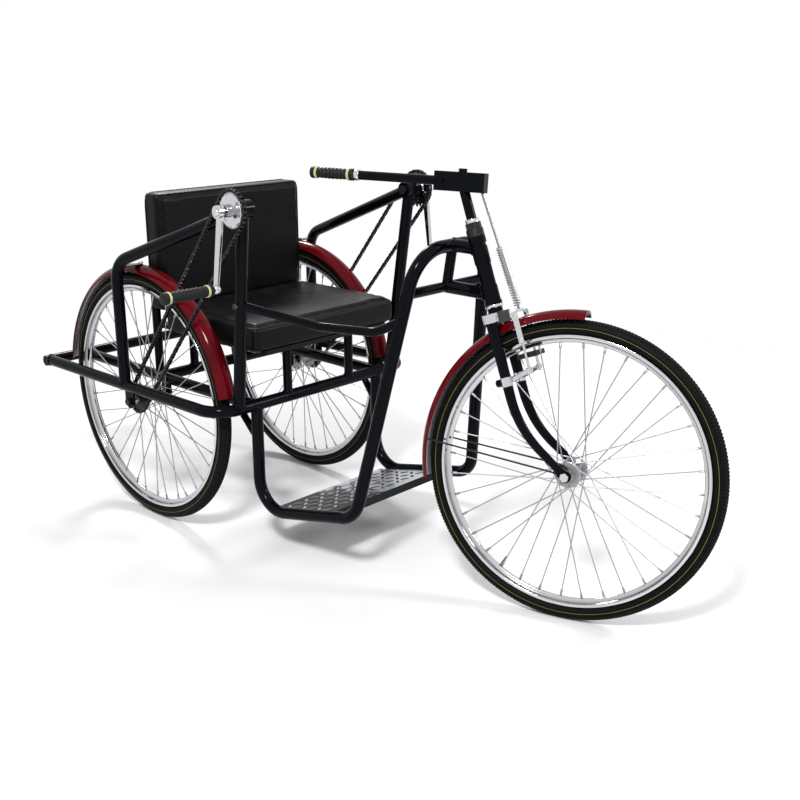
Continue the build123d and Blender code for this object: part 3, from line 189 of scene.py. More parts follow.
def lattice(rows: int, columns: int, loop_rows: bool, loop_columns: bool) -> Array:
    """Quads of a grid numbered row by row.

    Args:
        rows: Lines of points in the first direction.
        columns: Points in each line.
        loop_rows: Whether the last line joins the first.
        loop_columns: Whether each line's last point joins its first.

    Returns:
        Four point numbers for each quad.
    """
    row, column = np.meshgrid(
        np.arange(rows if loop_rows else rows - 1),
        np.arange(columns if loop_columns else columns - 1),
        indexing="ij",
    )
    row_next = (row + 1) % rows
    column_next = (column + 1) % columns
    corners = [
        row * columns + column,
        row_next * columns + column,
        row_next * columns + column_next,
        row * columns + column_next,
    ]
    return np.stack(corners, axis=-1).reshape(-1, 4)


def turned(profile: Array, steps: int, loop: bool = True) -> Surface:
    """Profile carried round the y axis: (r cos a, along, r sin a) for each angle a.

    Args:
        profile: Pairs of radius and place along the axis.
        steps: Stations in the full turn.
        loop: Whether the profile is a closed loop.

    Returns:
        The surface, in its own frame.
    """
    radius, along = np.asarray(profile, float).T
    points = about_axle(radius, along, full_turn(steps)[:, None])
    return Surface(points.reshape(-1, 3), lattice(steps, len(radius), True, loop))


def carried(
    path: Array,
    radius: Array | float,
    sides: int,
    loop: bool = False,
    reference: Array = UP,
    flat: float = 1.0,
) -> Surface:
    """Round or oval section carried along a path, with its ends drawn to a point where it is open.

    Each ring is path + radius (cos a N + flat sin a B), where N is across the path and the reference.

    Args:
        path: Points of the centre line.
        radius: One radius, or one for each point.
        sides: Points round the section.
        loop: Whether the path closes on itself.
        reference: Direction that the path never runs along.
        flat: Width along the reference as a share of the radius.

    Returns:
        The tube's surface.
    """
    radius = np.broadcast_to(np.asarray(radius, float), (len(path),))
    if loop:
        tangent = np.roll(path, -1, axis=0) - np.roll(path, 1, axis=0)
    else:
        tangent = np.gradient(path, axis=0)
        path = np.concatenate([path[:1], path, path[-1:]])
        tangent = np.concatenate([tangent[:1], tangent, tangent[-1:]])
        radius = np.concatenate([[0.0], radius, [0.0]])
    tangent = unit(tangent)
    across = unit(np.cross(reference, tangent))
    over = np.cross(tangent, across) * flat
    angle = full_turn(sides)
    ring = across[:, None] * np.cos(angle)[:, None] + over[:, None] * np.sin(angle)[:, None]
    points = path[:, None] + ring * radius[:, None, None]
    return Surface(points.reshape(-1, 3), lattice(len(path), sides, loop, True))


def copies(shape: Surface, places: Sequence[Place]) -> Surface:
    """One surface from copies of a shape.

    Args:
        shape: The shape, in its own frame.
        places: A place for each copy.

    Returns:
        All the copies, with the shape's marks on each.
    """
    origins = np.stack([place.origin for place in places])
    axes = np.stack([np.stack([place.x, place.y, place.z]) for place in places])
    points = origins[:, None] + np.einsum("pa,kab->kpb", shape.points, axes)
    shift = np.arange(len(places)) * len(shape.points)
    quads = shape.quads[None] + shift[:, None, None]
    marks = {name: np.tile(values, len(places)) for name, values in shape.marks.items()}
    return Surface(points.reshape(-1, 3), quads.reshape(-1, 4), marks)


def slab(size: Sequence[float], corner: float, bevel: float) -> Surface:
    """Plate with round corners in x and y and bevelled faces in z, about its own middle.

    Each ring is sign(cos a) (half - corner) + (corner - inset) cos a, with the sine alike.

    Args:
        size: Whole length along x, y and z.
        corner: Radius of its corners.
        bevel: Width of the bevel round each face.

    Returns:
        The plate, closed.
    """
    half = np.array(size, float) / 2
    turn = compass(full_turn(SLAB_STEPS) + TURN / SLAB_STEPS / 2)
    inset = np.array([bevel, 0.0, 0.0, bevel])
    level = np.array([-half[2], bevel - half[2], half[2] - bevel, half[2]])
    flat = np.sign(turn) * (half[:2] - corner) + (corner - inset)[:, None, None] * turn
    flat = np.concatenate([flat[:1] * 0.0, flat, flat[:1] * 0.0])
    height = np.concatenate([level[:1], level, level[-1:]])
    rise = np.broadcast_to(height[:, None, None], flat.shape[:2] + (1,))
    points = np.concatenate([flat, rise], axis=-1)
    return Surface(points.reshape(-1, 3), lattice(len(height), SLAB_STEPS, False, True))


def hexagon(radius: float, height: float) -> Surface:
    """Hexagonal nut or bolt head that stands along y from its own origin.

    Args:
        radius: Reach of its corners.
        height: Its height, with a small bevel at the top.

    Returns:
        The head, closed.
    """
    edge = NUT_EDGE * radius
    profile = np.array([
        (0.0, 0.0), (radius, 0.0), (radius, height - edge), (radius - edge, height), (0.0, height),
    ])
    return turned(profile, NUT_SIDES, False)


def dome(radius: float, height: float) -> Surface:
    """Round rivet or bolt head that stands along y from its own origin: an elliptic quarter turned.

    Args:
        radius: Reach of its foot, which is tucked in a little below the origin.
        height: Its height.

    Returns:
        The head, closed.
    """
    foot = [(0.0, -DOME_TUCK), (radius, -DOME_TUCK)]
    curve = compass(np.linspace(0.0, math.pi / 2, DOME_RINGS)) * [radius, height]
    return turned(np.concatenate([foot, curve]), DOME_STEPS, False)


def joined(surfaces: Sequence[Surface]) -> Surface:
    """One surface from several.

    Args:
        surfaces: The surfaces, which all carry the marks of the first.

    Returns:
        The whole.
    """
    counts = np.cumsum([0] + [len(surface.points) for surface in surfaces[:-1]])
    quads = [surface.quads + count for surface, count in zip(surfaces, counts)]
    marks = {
        name: np.concatenate([surface.marks[name] for surface in surfaces])
        for name in surfaces[0].marks
    }
    return Surface(np.concatenate([s.points for s in surfaces]), np.concatenate(quads), marks)


def outward(surface: Surface) -> Surface:
    """Turn a surface's faces outwards, by the sign of the volume they close.

    Args:
        surface: A closed surface, or several.

    Returns:
        The same surface, with its faces turned round where that volume is negative.
    """
    corners = surface.points[surface.quads]
    first = np.einsum("ij,ij->i", corners[:, 0], np.cross(corners[:, 1], corners[:, 2]))
    second = np.einsum("ij,ij->i", corners[:, 0], np.cross(corners[:, 2], corners[:, 3]))
    if first.sum() + second.sum() < 0:
        return Surface(surface.points, surface.quads[:, ::-1], surface.marks)
    return surface


def merge(mesh: bpy.types.Mesh, reach: float) -> None:
    """Join the points of a mesh that lie within a reach of one another.

    Args:
        mesh: The mesh.
        reach: The distance, in metres.
    """
    work = bmesh.new()
    work.from_mesh(mesh)
    bmesh.ops.remove_doubles(work, verts=work.verts, dist=reach)
    work.to_mesh(mesh)
    work.free()


def mesh_points(mesh: bpy.types.Mesh) -> Array:
    """Points of a mesh as an array.

    Args:
        mesh: The mesh.

    Returns:
        One row for each point.
    """
    points = np.empty(len(mesh.vertices) * 3, np.float32)
    mesh.vertices.foreach_get("co", points)
    return points.reshape(-1, 3).astype(float)


def make_piece(
    name: str,
    surface: Surface,
    finish: "Finish",
    body: str,
    stands_for: Sequence[str] = (),
    crease: float = 38.0,
) -> bpy.types.Object:
    """Make a piece of the tricycle from a surface.

    Args:
        name: The piece's name.
        surface: Its points and faces, in the row frame.
        finish: Its finish.
        body: The body it moves with.
        stands_for: Nodes of the model that it replaces.
        crease: Angle between faces, in degrees, past which an edge is sharp.

    Returns:
        The new object.
    """
    surface = outward(surface)
    mesh = bpy.data.meshes.new(name)
    mesh.from_pydata(surface.points.tolist(), [], surface.quads.tolist())
    for mark, values in surface.marks.items():
        attribute = mesh.attributes.new(mark, "FLOAT", "POINT")
        attribute.data.foreach_set("value", values.astype(np.float32))
    merge(mesh, MERGE_REACH)
    mesh.shade_smooth()
    mesh.set_sharp_from_angle(angle=math.radians(crease))
    mesh.materials.append(finish.material())
    piece = bpy.data.objects.new(name, mesh)
    bpy.context.scene.collection.objects.link(piece)
    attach(piece, body)
    if stands_for:
        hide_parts(*stands_for)
    LOG.info("%s: %d faces on %s", name, len(mesh.polygons), body)
    return piece


# Shader nodes


class Bench:
    """Adds and links the nodes of one material or node group."""

    def __init__(self, tree: Tree) -> None:
        """Work on a node tree."""
        self.tree = tree

    def feed(self, socket: Socket, value: object) -> None:
        """Set a socket to a value, or link it to another node's output."""
        if isinstance(value, Socket):
            self.tree.links.new(value, socket)
        else:
            socket.default_value = value

    def add(self, kind: str, options: Optional[dict] = None, **inputs: object) -> Node:
        """Add a node.

        Args:
            kind: The node's type.
            options: Its settings.
            inputs: Values or sockets by input name, with _ for a space.

        Returns:
            The node.
        """
        node = self.tree.nodes.new(kind)
        for key, value in (options or {}).items():
            setattr(node, key, value)
        for key, value in inputs.items():
            self.feed(node.inputs[key.replace("_", " ")], value)
        return node

    def maths(self, operation: str, *values: object) -> Socket:
        """Add a Math node.

        Args:
            operation: What it does.
            values: One to three values or sockets.

        Returns:
            Its output.
        """
        node = self.tree.nodes.new("ShaderNodeMath")
        node.operation = operation
        for socket, value in zip(node.inputs, values):
            self.feed(socket, value)
        return node.outputs[0]

    def spread(
        self, value: object, low: float, high: float, to_low: float = 0.0, to_high: float = 1.0
    ) -> Socket:
        """Map a value's range to another one, smoothly and within its ends."""
        node = self.add(
            "ShaderNodeMapRange", {"interpolation_type": "SMOOTHSTEP"}, Value=value,
            From_Min=low, From_Max=high, To_Min=to_low, To_Max=to_high,
        )
        return node.outputs["Result"]

    def noise(
        self, vector: object, scale: object, detail: float = 3.0, rough: float = 0.55
    ) -> Socket:
        """Value of a noise texture at a scale."""
        node = self.add(
            "ShaderNodeTexNoise", None, Vector=vector, Scale=scale, Detail=detail, Roughness=rough
        )
        return node.outputs["Fac"]

    def blend(self, share: object, first: object, second: object) -> Socket:
        """Add a Mix node for colours.

        Args:
            share: How much of the second colour there is.
            first: A colour or socket.
            second: A colour or socket.

        Returns:
            The colour between the two.
        """
        node = self.tree.nodes.new("ShaderNodeMix")
        node.data_type = "RGBA"
        self.feed(node.inputs[0], share)
        self.feed(node.inputs[6], first)
        self.feed(node.inputs[7], second)
        return node.outputs[2]

    def place(self) -> Socket:
        """Object coordinates of the surface."""
        return self.add("ShaderNodeTexCoord").outputs["Object"]

    def mark(self, name: str) -> Socket:
        """Value of a mesh attribute at the surface."""
        return self.add("ShaderNodeAttribute", {"attribute_name": name}).outputs["Fac"]

    def part(self, vector: Socket, axis: str) -> Socket:
        """One part of a vector: its X, Y or Z."""
        return self.add("ShaderNodeSeparateXYZ", None, Vector=vector).outputs[axis]

    def rise(self) -> Socket:
        """How far the surface looks up: the Z of its normal."""
        return self.part(self.add("ShaderNodeNewGeometry").outputs["Normal"], "Z")

    def drawn_out(self, scale: tuple[float, float, float]) -> Socket:
        """Object coordinates with a scale for each axis."""
        node = self.add("ShaderNodeMapping", None, Vector=self.place(), Scale=scale)
        return node.outputs["Vector"]


class GroupMaker:
    """Makes the effects that several finishes share, each once, as a node group."""

    made: dict[str, Tree] = {}

    @classmethod
    def start(
        cls, name: str, inputs: dict[str, float], outputs: Sequence[str]
    ) -> tuple[Bench, Node, Node]:
        """Open a new group with its sockets.

        Args:
            name: The group's name.
            inputs: Input names with their default values.
            outputs: Output names.

        Returns:
            The group's bench, its input node and its output node.
        """
        tree = bpy.data.node_groups.new(name, "ShaderNodeTree")
        for key, value in inputs.items():
            socket = tree.interface.new_socket(key, in_out="INPUT", socket_type="NodeSocketFloat")
            socket.default_value = value
        for key in outputs:
            tree.interface.new_socket(key, in_out="OUTPUT", socket_type="NodeSocketFloat")
        cls.made[name] = tree
        return Bench(tree), tree.nodes.new("NodeGroupInput"), tree.nodes.new("NodeGroupOutput")

    @classmethod
    def ripple(cls) -> Tree:
        """Soft waviness of sprayed paint or plating: a height and a tone from noise.

        Returns:
            The group.
        """
        name = "paint ripple"
        if name not in cls.made:
            bench, source, target = cls.start(name, {"Scale": 90.0, "Depth": 1.0}, ("Height", "Tone"))
            place = bench.place()
            fine = bench.noise(place, source.outputs["Scale"], 2.0)
            bench.feed(target.inputs["Height"], bench.maths("MULTIPLY", fine, source.outputs["Depth"]))
            bench.feed(target.inputs["Tone"], bench.noise(place, 6.0, 4.0))
        return cls.made[name]

    @classmethod
    def dust(cls) -> Tree:
        """Thin dust where a face looks up, broken by noise.

        Returns:
            The group.
        """
        name = "dust film"
        if name not in cls.made:
            bench, source, target = cls.start(name, {"Amount": 0.3, "Scale": 30.0}, ("Mask",))
            level = bench.spread(bench.rise(), 0.2, 1.0)
            specks = bench.noise(bench.place(), source.outputs["Scale"], 6.0, 0.65)
            mask = bench.maths("MULTIPLY", level, bench.spread(specks, 0.35, 0.75))
            bench.feed(target.inputs["Mask"], bench.maths("MULTIPLY", mask, source.outputs["Amount"]))
        return cls.made[name]

    @classmethod
    def scuff(cls) -> Tree:
        """Fine rubbed marks: thin stretched noise kept where it is strongest.

        Returns:
            The group.
        """
        name = "rub marks"
        if name not in cls.made:
            bench, source, target = cls.start(name, {"Amount": 0.3, "Scale": 60.0}, ("Mask",))
            lines = bench.noise(bench.drawn_out((1.0, 5.0, 1.6)), source.outputs["Scale"], 5.0, 0.7)
            patch = bench.spread(bench.noise(bench.place(), 9.0, 2.0), 0.5, 0.7)
            mask = bench.maths("MULTIPLY", bench.spread(lines, 0.56, 0.7), patch)
            bench.feed(target.inputs["Mask"], bench.maths("MULTIPLY", mask, source.outputs["Amount"]))
        return cls.made[name]

    @classmethod
    def pebble(cls) -> Tree:
        """Pebbled grain of vinyl and moulded rubber: rounded cells with fine noise over them.

        Returns:
            The group.
        """
        name = "pebble grain"
        if name not in cls.made:
            bench, source, target = cls.start(name, {"Scale": 500.0}, ("Height",))
            place = bench.place()
            cells = bench.add(
                "ShaderNodeTexVoronoi", {"feature": "SMOOTH_F1"}, Vector=place,
                Scale=source.outputs["Scale"], Smoothness=0.35,
            ).outputs["Distance"]
            closer = bench.maths("MULTIPLY", source.outputs["Scale"], 2.2)
            fine = bench.maths("MULTIPLY", bench.noise(place, closer, 3.0), 0.35)
            hills = bench.maths("SUBTRACT", 1.0, cells)
            bench.feed(target.inputs["Height"], bench.maths("ADD", fine, hills))
        return cls.made[name]


class Coating(Bench):
    """Bench of one material, with the Principled shader that it feeds."""

    def __init__(self, tree: Tree) -> None:
        """Work on a material's nodes."""
        super().__init__(tree)
        self.shader = tree.nodes["Principled BSDF"]

    def effect(self, tree: Tree, **values: float) -> Node:
        """Place a shared effect in the material with its own values."""
        return self.add("ShaderNodeGroup", {"node_tree": tree}, **values)

    def coat(self, base: object, rough: object, gloss: float = 0.5) -> None:
        """Feed the shader's colour and roughness, and set its gloss.

        Args:
            base: The colour.
            rough: The roughness.
            gloss: The specular level.
        """
        self.feed(self.shader.inputs["Base Color"], base)
        self.feed(self.shader.inputs["Roughness"], rough)
        self.shader.inputs["Specular IOR Level"].default_value = gloss

    def bump(self, height: Socket, strength: float, reach: float) -> None:
        """Give the shader a normal from a height, in metres of reach."""
        node = self.add("ShaderNodeBump", None, Height=height, Strength=strength, Distance=reach)
        self.feed(self.shader.inputs["Normal"], node.outputs["Normal"])


class Finish:
    """Base of the finishes: a Principled shader that each kind of surface feeds in its own way."""

    name: str

    def material(self) -> bpy.types.Material:
        """Make the finish on its first use.

        Returns:
            The finish as a material.
        """
        found = bpy.data.materials.get(self.name)
        if found:
            return found
        made = bpy.data.materials.new(self.name)
        made.use_nodes = True
        self.dress(Coating(made.node_tree))
        return made

    def dress(self, bench: Coating) -> None:
        """Feed the shader.

        Args:
            bench: The material's bench.
        """
        raise NotImplementedError


def rgba(colour: Sequence[float], share: float = 1.0) -> tuple[float, float, float, float]:
    """A colour at a share of its strength, with full alpha."""
    return (*(share * part for part in colour), 1.0)


@dataclass(frozen=True)
class Enamel(Finish):
    """Glossy stoved paint on steel, with a light ripple, dust and rubbed marks."""

    name: str
    colour: Colour
    rough: float = 0.16
    gloss: float = 0.10
    inner: Optional[Colour] = None
    inner_rough: float = 0.2
    inner_metal: float = 0.7
    deep: float = 0.78
    wave_scale: float = 140.0
    wave_reach: float = 0.0004
    wave_share: float = 0.12
    dusty: float = 0.12
    dust: Colour = (0.3, 0.29, 0.28)
    dust_cover: float = 0.06
    dust_rough: float = 0.3
    rubbed: float = 0.5
    rub_rough: float = 0.22

    def dress(self, bench: Coating) -> None:
        """Feed colour, roughness and bump, with the bare inner face where there is one.

        Args:
            bench: The material's bench.
        """
        ripple = bench.effect(GroupMaker.ripple(), Scale=self.wave_scale, Depth=1.0)
        dust = bench.effect(GroupMaker.dust(), Amount=self.dusty).outputs["Mask"]
        marks = bench.effect(GroupMaker.scuff(), Amount=self.rubbed).outputs["Mask"]
        base = bench.blend(ripple.outputs["Tone"], rgba(self.colour, self.deep), rgba(self.colour))
        rough = bench.maths("MULTIPLY_ADD", marks, self.rub_rough, self.rough)
        rough = bench.maths("MULTIPLY_ADD", dust, self.dust_rough, rough)
        base = bench.blend(bench.maths("MULTIPLY", dust, self.dust_cover), base, rgba(self.dust))
        if self.inner:
            inside = bench.mark("inside")
            base = bench.blend(inside, base, rgba(self.inner))
            rough = bench.maths("MULTIPLY_ADD", inside, self.inner_rough, rough)
            bench.feed(bench.shader.inputs["Metallic"], bench.maths("MULTIPLY", inside, self.inner_metal))
        bench.coat(base, rough, self.gloss)
        bench.bump(ripple.outputs["Height"], self.wave_share, self.wave_reach)


@dataclass(frozen=True)
class Plated(Finish):
    """Bright or dark plated metal, with faint smudges, rubbed marks and grime stains, and painted shade where the
    mesh carries a shade mark.
    """

    name: str
    colour: Colour
    rough: float = 0.09
    smudge: float = 0.12
    smudge_range: Pair = (0.35, 0.7)
    # Colour of the grime stains, and also of the painted shade in hollows.
    grime: Colour = (0.10, 0.095, 0.09)
    grime_share: float = 0.12
    grime_range: Pair = (0.52, 0.78)
    grime_scale: float = 38.0
    # Share of painted shade, read from the mesh's shade mark.
    lined: float = 0.0
    wave_scale: float = 220.0
    wave_reach: float = 0.0003
    wave_share: float = 0.05
    rubbed: float = 0.7
    rub_scale: float = 110.0
    rub_rough: float = 0.18

    def dress(self, bench: Coating) -> None:
        """Feed colour and roughness from smudges, with a trace of ripple.

        Args:
            bench: The material's bench.
        """
        ripple = bench.effect(GroupMaker.ripple(), Scale=self.wave_scale, Depth=1.0)
        rubs = bench.effect(GroupMaker.scuff(), Amount=self.rubbed, Scale=self.rub_scale)
        stain = bench.spread(bench.noise(bench.place(), self.grime_scale, 6.0, 0.6), *self.grime_range)
        grime = rgba(self.grime)
        base = bench.blend(bench.maths("MULTIPLY", stain, self.grime_share), rgba(self.colour), grime)
        # Painted shade: the shade mark darkens the colour towards the grime colour, most in the hollows.
        if self.lined:
            painted_hollow_shade = bench.maths("MULTIPLY", bench.mark("shade"), self.lined)
            base = bench.blend(painted_hollow_shade, base, grime)
        tone = bench.spread(ripple.outputs["Tone"], *self.smudge_range, 0.0, self.smudge)
        rough = bench.maths("ADD", tone, self.rough)
        rough = bench.maths("MULTIPLY_ADD", rubs.outputs["Mask"], self.rub_rough, rough)
        bench.coat(base, rough)
        bench.shader.inputs["Metallic"].default_value = 1.0
        bench.bump(ripple.outputs["Height"], self.wave_share, self.wave_reach)


@dataclass(frozen=True)
class Toothed(Plated):
    """Plated disc about an axis along Y, with a toothed edge that is dark with grease."""

    hub: Pair = (0.0, 0.0)
    bright_reach: float = 0.0425
    blur: float = 0.0015
    grease: Colour = (0.012, 0.012, 0.013)

    def dress(self, bench: Coating) -> None:
        """Feed the plating, darkened by the distance from the axis.

        Args:
            bench: The material's bench.
        """
        super().dress(bench)
        base = bench.shader.inputs["Base Color"].links[0].from_socket
        place = bench.place()
        x = bench.maths("SUBTRACT", bench.part(place, "X"), self.hub[0])
        z = bench.maths("SUBTRACT", bench.part(place, "Z"), self.hub[1])
        away = bench.maths("SQRT", bench.maths("MULTIPLY_ADD", x, x, bench.maths("MULTIPLY", z, z)))
        edge = bench.spread(away, self.bright_reach, self.bright_reach + self.blur)
        bench.feed(bench.shader.inputs["Base Color"], bench.blend(edge, base, rgba(self.grease)))


@dataclass(frozen=True)
class TyreRubber(Finish):
    """Black tyre rubber with a thin coloured line on each sidewall and dust in its tread."""

    name: str = "tyre rubber"
    colour: Colour = (0.003, 0.0032, 0.0036)
    worn: Colour = (0.0055, 0.0055, 0.006)
    dust: Colour = (0.020, 0.019, 0.018)
    dust_cover: float = 0.5
    line: Colour = (0.22, 0.185, 0.045)
    line_at: float = 1.62
    line_half: float = 0.028
    line_core: float = 0.7
    rough_range: Pair = (0.42, 0.6)
    gloss: float = 0.05
    grain: float = 900.0

    def dress(self, bench: Coating) -> None:
        """Feed the line from the angle round the section, and the dust from the tread's depth.

        Args:
            bench: The material's bench.
        """
        angle = bench.maths("ABSOLUTE", bench.mark("section"))
        away = bench.maths("ABSOLUTE", bench.maths("SUBTRACT", angle, self.line_at))
        line = bench.spread(away, self.line_half * self.line_core, self.line_half, 1.0, 0.0)
        groove = bench.mark("groove")
        tone = bench.noise(bench.place(), 40.0, 5.0, 0.6)
        base = bench.blend(bench.spread(tone, 0.3, 0.8), rgba(self.colour), rgba(self.worn))
        base = bench.blend(bench.maths("MULTIPLY", groove, self.dust_cover), base, rgba(self.dust))
        base = bench.blend(line, base, rgba(self.line))
        bench.coat(base, bench.spread(tone, 0.2, 0.8, *self.rough_range), self.gloss)
        grain = bench.effect(GroupMaker.pebble(), Scale=self.grain).outputs["Height"]
        bench.bump(grain, 0.12, 0.0003)


@dataclass(frozen=True)
class Moulded(Finish):
    """Moulded rubber, plastic or vinyl with a pebbled grain and a soft sheen."""

    name: str
    colour: Colour
    rough: float = 0.5
    grain: float = 700.0
    depth: float = 0.25
    gloss: float = 0.18
    deep: float = 0.7
    dusty: float = 0.35
    dust_scale: float = 22.0
    dust_cover: float = 0.6
    # Colour of the dust and painted sheen on faces that look up.
    pale: Colour = (0.05, 0.046, 0.042)

    def dress(self, bench: Coating) -> None:
        """Feed colour, roughness and grain, with a pale film on faces that look up that is partly dust and partly
        a painted sheen.

        Args:
            bench: The material's bench.
        """
        grain = bench.effect(GroupMaker.pebble(), Scale=self.grain).outputs["Height"]
        # Dust and painted sheen: the pale colour lightens faces that look up, as dust and as the sheen of light on
        # the seat's top.
        film = bench.effect(GroupMaker.dust(), Amount=self.dusty, Scale=self.dust_scale)
        tone = bench.noise(bench.place(), 14.0, 5.0, 0.6)
        base = bench.blend(tone, rgba(self.colour, self.deep), rgba(self.colour))
        dust = bench.maths("MULTIPLY", film.outputs["Mask"], self.dust_cover)
        base = bench.blend(dust, base, rgba(self.pale))
        rough = bench.spread(tone, 0.25, 0.8, self.rough - 0.06, self.rough + 0.08)
        bench.coat(base, rough, self.gloss)
        bench.bump(grain, self.depth, 0.0004)


@dataclass(frozen=True)
class Board(Finish):
    """Dark painted plywood with a faint grain along its length."""

    name: str = "seat board"
    colour: Colour = (0.004, 0.004, 0.004)
    worn: Colour = (0.009, 0.008, 0.0075)
    gloss: float = 0.12

    def dress(self, bench: Coating) -> None:
        """Feed colour and bump from noise drawn out along X.

        Args:
            bench: The material's bench.
        """
        grain = bench.noise(bench.drawn_out((3.0, 60.0, 60.0)), 4.0, 6.0, 0.6)
        base = bench.blend(grain, rgba(self.colour), rgba(self.worn))
        bench.coat(base, bench.spread(grain, 0.3, 0.8, 0.5, 0.7), self.gloss)
        bench.bump(grain, 0.2, 0.0006)


@dataclass(frozen=True)
class Plate(Finish):
    """Rolled plate with a fine rolling grain and rubbed marks, its colour a painted reflection, bright on one side
    and blotted dark on the other, with painted shade on faces that turn away from up.
    """

    name: str
    colour: Colour
    rough: float = 0.26
    gloss: float = 0.1
    # Colour of the painted dark reflection and the painted shade.
    dark: Colour = (0.010, 0.011, 0.013)
    bright_left: bool = True
    change: Pair = (-0.04, 0.06)
    blots: float = 0.55
    blot_scale: float = 34.0
    lip: Pair = (0.5, 0.8)
    rubbed: float = 0.9
    rub_scale: float = 80.0
    rub_rough: float = 0.2

    def dress(self, bench: Coating) -> None:
        """Feed colour and roughness, with a painted reflection bright on one side and blotted dark on the other,
        and painted shade on the lips.

        Args:
            bench: The material's bench.
        """
        grain = bench.noise(bench.drawn_out((40.0, 4.0, 40.0)), 14.0, 5.0, 0.65)
        rubs = bench.effect(GroupMaker.scuff(), Amount=self.rubbed, Scale=self.rub_scale)
        # Painted reflection: bright on one side of Y and dark on the other, with blots along the change; metal
        # only where bright.
        across = bench.part(bench.place(), "Y")
        painted_blot = bench.maths("SUBTRACT", bench.noise(bench.place(), self.blot_scale, 5.0, 0.62), 0.5)
        bright = bench.spread(bench.maths("MULTIPLY_ADD", painted_blot, self.blots, across), *self.change)
        if not self.bright_left:
            bright = bench.maths("SUBTRACT", 1.0, bright)
        # Painted shade: faces that turn away from up, such as the plate's lips and the bars' sides, go dark.
        bright = bench.maths("MULTIPLY", bright, bench.spread(bench.rise(), *self.lip))
        base = bench.blend(bright, rgba(self.dark), rgba(self.colour))
        rough = bench.spread(grain, 0.25, 0.8, self.rough - 0.06, self.rough + 0.12)
        rough = bench.maths("MULTIPLY_ADD", rubs.outputs["Mask"], self.rub_rough, rough)
        bench.coat(base, rough, self.gloss)
        bench.feed(bench.shader.inputs["Metallic"], bright)
        bench.bump(grain, 0.08, 0.0003)


BLACK = Enamel("black enamel", (0.0016, 0.0021, 0.0040), rough=0.12, gloss=0.07)
MAROON = Enamel(
    "maroon enamel", (0.108, 0.0008, 0.0042), rough=0.10, gloss=0.11, inner=(0.34, 0.335, 0.34)
)
CHROME = Plated("bright chrome", (0.60, 0.605, 0.62), rough=0.06, smudge=0.08)
# The rim's plating takes painted shade from its shade mark.
RIM = Plated("rim chrome", (0.60, 0.605, 0.62), rough=0.07, smudge=0.08, lined=0.9)
SATIN = Plated("satin plating", (0.30, 0.30, 0.315), rough=0.22, grime_share=0.4)
SILVER = Plated("silver spokes", (0.36, 0.36, 0.385), rough=0.34)
# The hub's plating takes painted shade from its shade mark.
HUB = Plated("hub plating", (0.48, 0.48, 0.495), rough=0.2, grime_share=0.3, lined=0.9)
STEEL = Plated("dark steel", (0.030, 0.030, 0.032), rough=0.32, smudge=0.2, grime_share=0.4)
BRASS = Plated("dull brass", (0.28, 0.19, 0.08), rough=0.3)
TYRE = TyreRubber()
# The seat vinyl keeps the default pale film, partly dust and partly a painted sheen on its top.
VINYL = Moulded("seat vinyl", (0.0022, 0.0024, 0.003), rough=0.40, grain=560.0, depth=0.3, gloss=0.12)
GRIP = Moulded("grip rubber", (0.008, 0.008, 0.0085), rough=0.5)
RING = Moulded("grip ring", (0.50, 0.56, 0.26), rough=0.42, pale=(0.5, 0.53, 0.36))
BRAKE = Moulded("brake rubber", (0.012, 0.009, 0.0085), rough=0.6)
BOARD = Board()
# The plate and its bars carry the painted reflection on opposite sides.
PLATE = Plate("rolled plate", (0.62, 0.64, 0.67), rough=0.38)
BARS = Plate("plate bars", (0.55, 0.56, 0.58), rough=0.38, bright_left=False)

SLOT_FINISH: dict[Slot, Finish] = {
    Slot.FRAME: BLACK,
    Slot.GUARD: MAROON,
    Slot.CHROME: CHROME,
    Slot.TYRE: TYRE,
    Slot.VINYL: VINYL,
    Slot.BOARD: BOARD,
    Slot.GRIP: GRIP,
    Slot.BRAKE: BRAKE,
    Slot.PLATE: PLATE,
    Slot.STEEL: STEEL,
}


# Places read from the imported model


def joint(name: str) -> dict:
    """The record of one joint."""
    return next(entry for entry in frame["joints"] if entry["name"] == name)


def joint_centre(name: str) -> Array:
    """A point of a joint's axis."""
    return np.array(joint(name)["pos_m"], float)


def joint_axis(name: str) -> Array:
    """Direction of a joint's axis."""
    return unit(np.array(joint(name)["axis"], float))


def corners(node: str) -> tuple[Array, Array]:
    """Lowest and highest corner of a node at rest."""
    low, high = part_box(node)
    return np.array(low), np.array(high)


def middle_of(node: str) -> Array:
    """Middle of a node's box at rest."""
    low, high = corners(node)
    return (low + high) / 2


def crank_centre(side: Side) -> Array:
    """Find a crank's axis in the plane of its chain.

    Args:
        side: The crank's side.

    Returns:
        The axis's point there.
    """
    centre = joint_centre(f"crank_{side.word}_spin")
    centre[1] = middle_of(f"sprocket_{side.word}")[1]
    return centre


STEER_AXIS = joint_axis("steering_turn")
WHEEL_AXIS = joint_axis("front_wheel_spin")
STEER = Place(joint_centre("steering_turn"), np.cross(WHEEL_AXIS, STEER_AXIS), WHEEL_AXIS, STEER_AXIS)
FRONT = Place(joint_centre("front_wheel_spin"), STEER.x, STEER.y, STEER.z)
CRANK = crank_centre(Side.LEFT)
CHAINWHEEL = Toothed(
    "greased chainwheel", (0.42, 0.42, 0.43), rough=0.12, hub=(float(CRANK[0]), float(CRANK[2]))
)
NODE_FINISH: dict[str, Finish] = {
    "chainwheel_left": CHAINWHEEL,
    "chainwheel_right": CHAINWHEEL,
    "brake_rod": SATIN,
}


@dataclass
class FramePaint:
    """Finishes of the nodes that keep the model's own shape."""

    def build(self) -> None:
        """Give each node its own finish, or that of its slot in the record."""
        for part in frame["record"]["subparts"]:
            node = frame["nodes"][part["node"]]
            node.data.materials.clear()
            finish = NODE_FINISH.get(part["node"], SLOT_FINISH[Slot(part["material_slot"])])
            node.data.materials.append(finish.material())


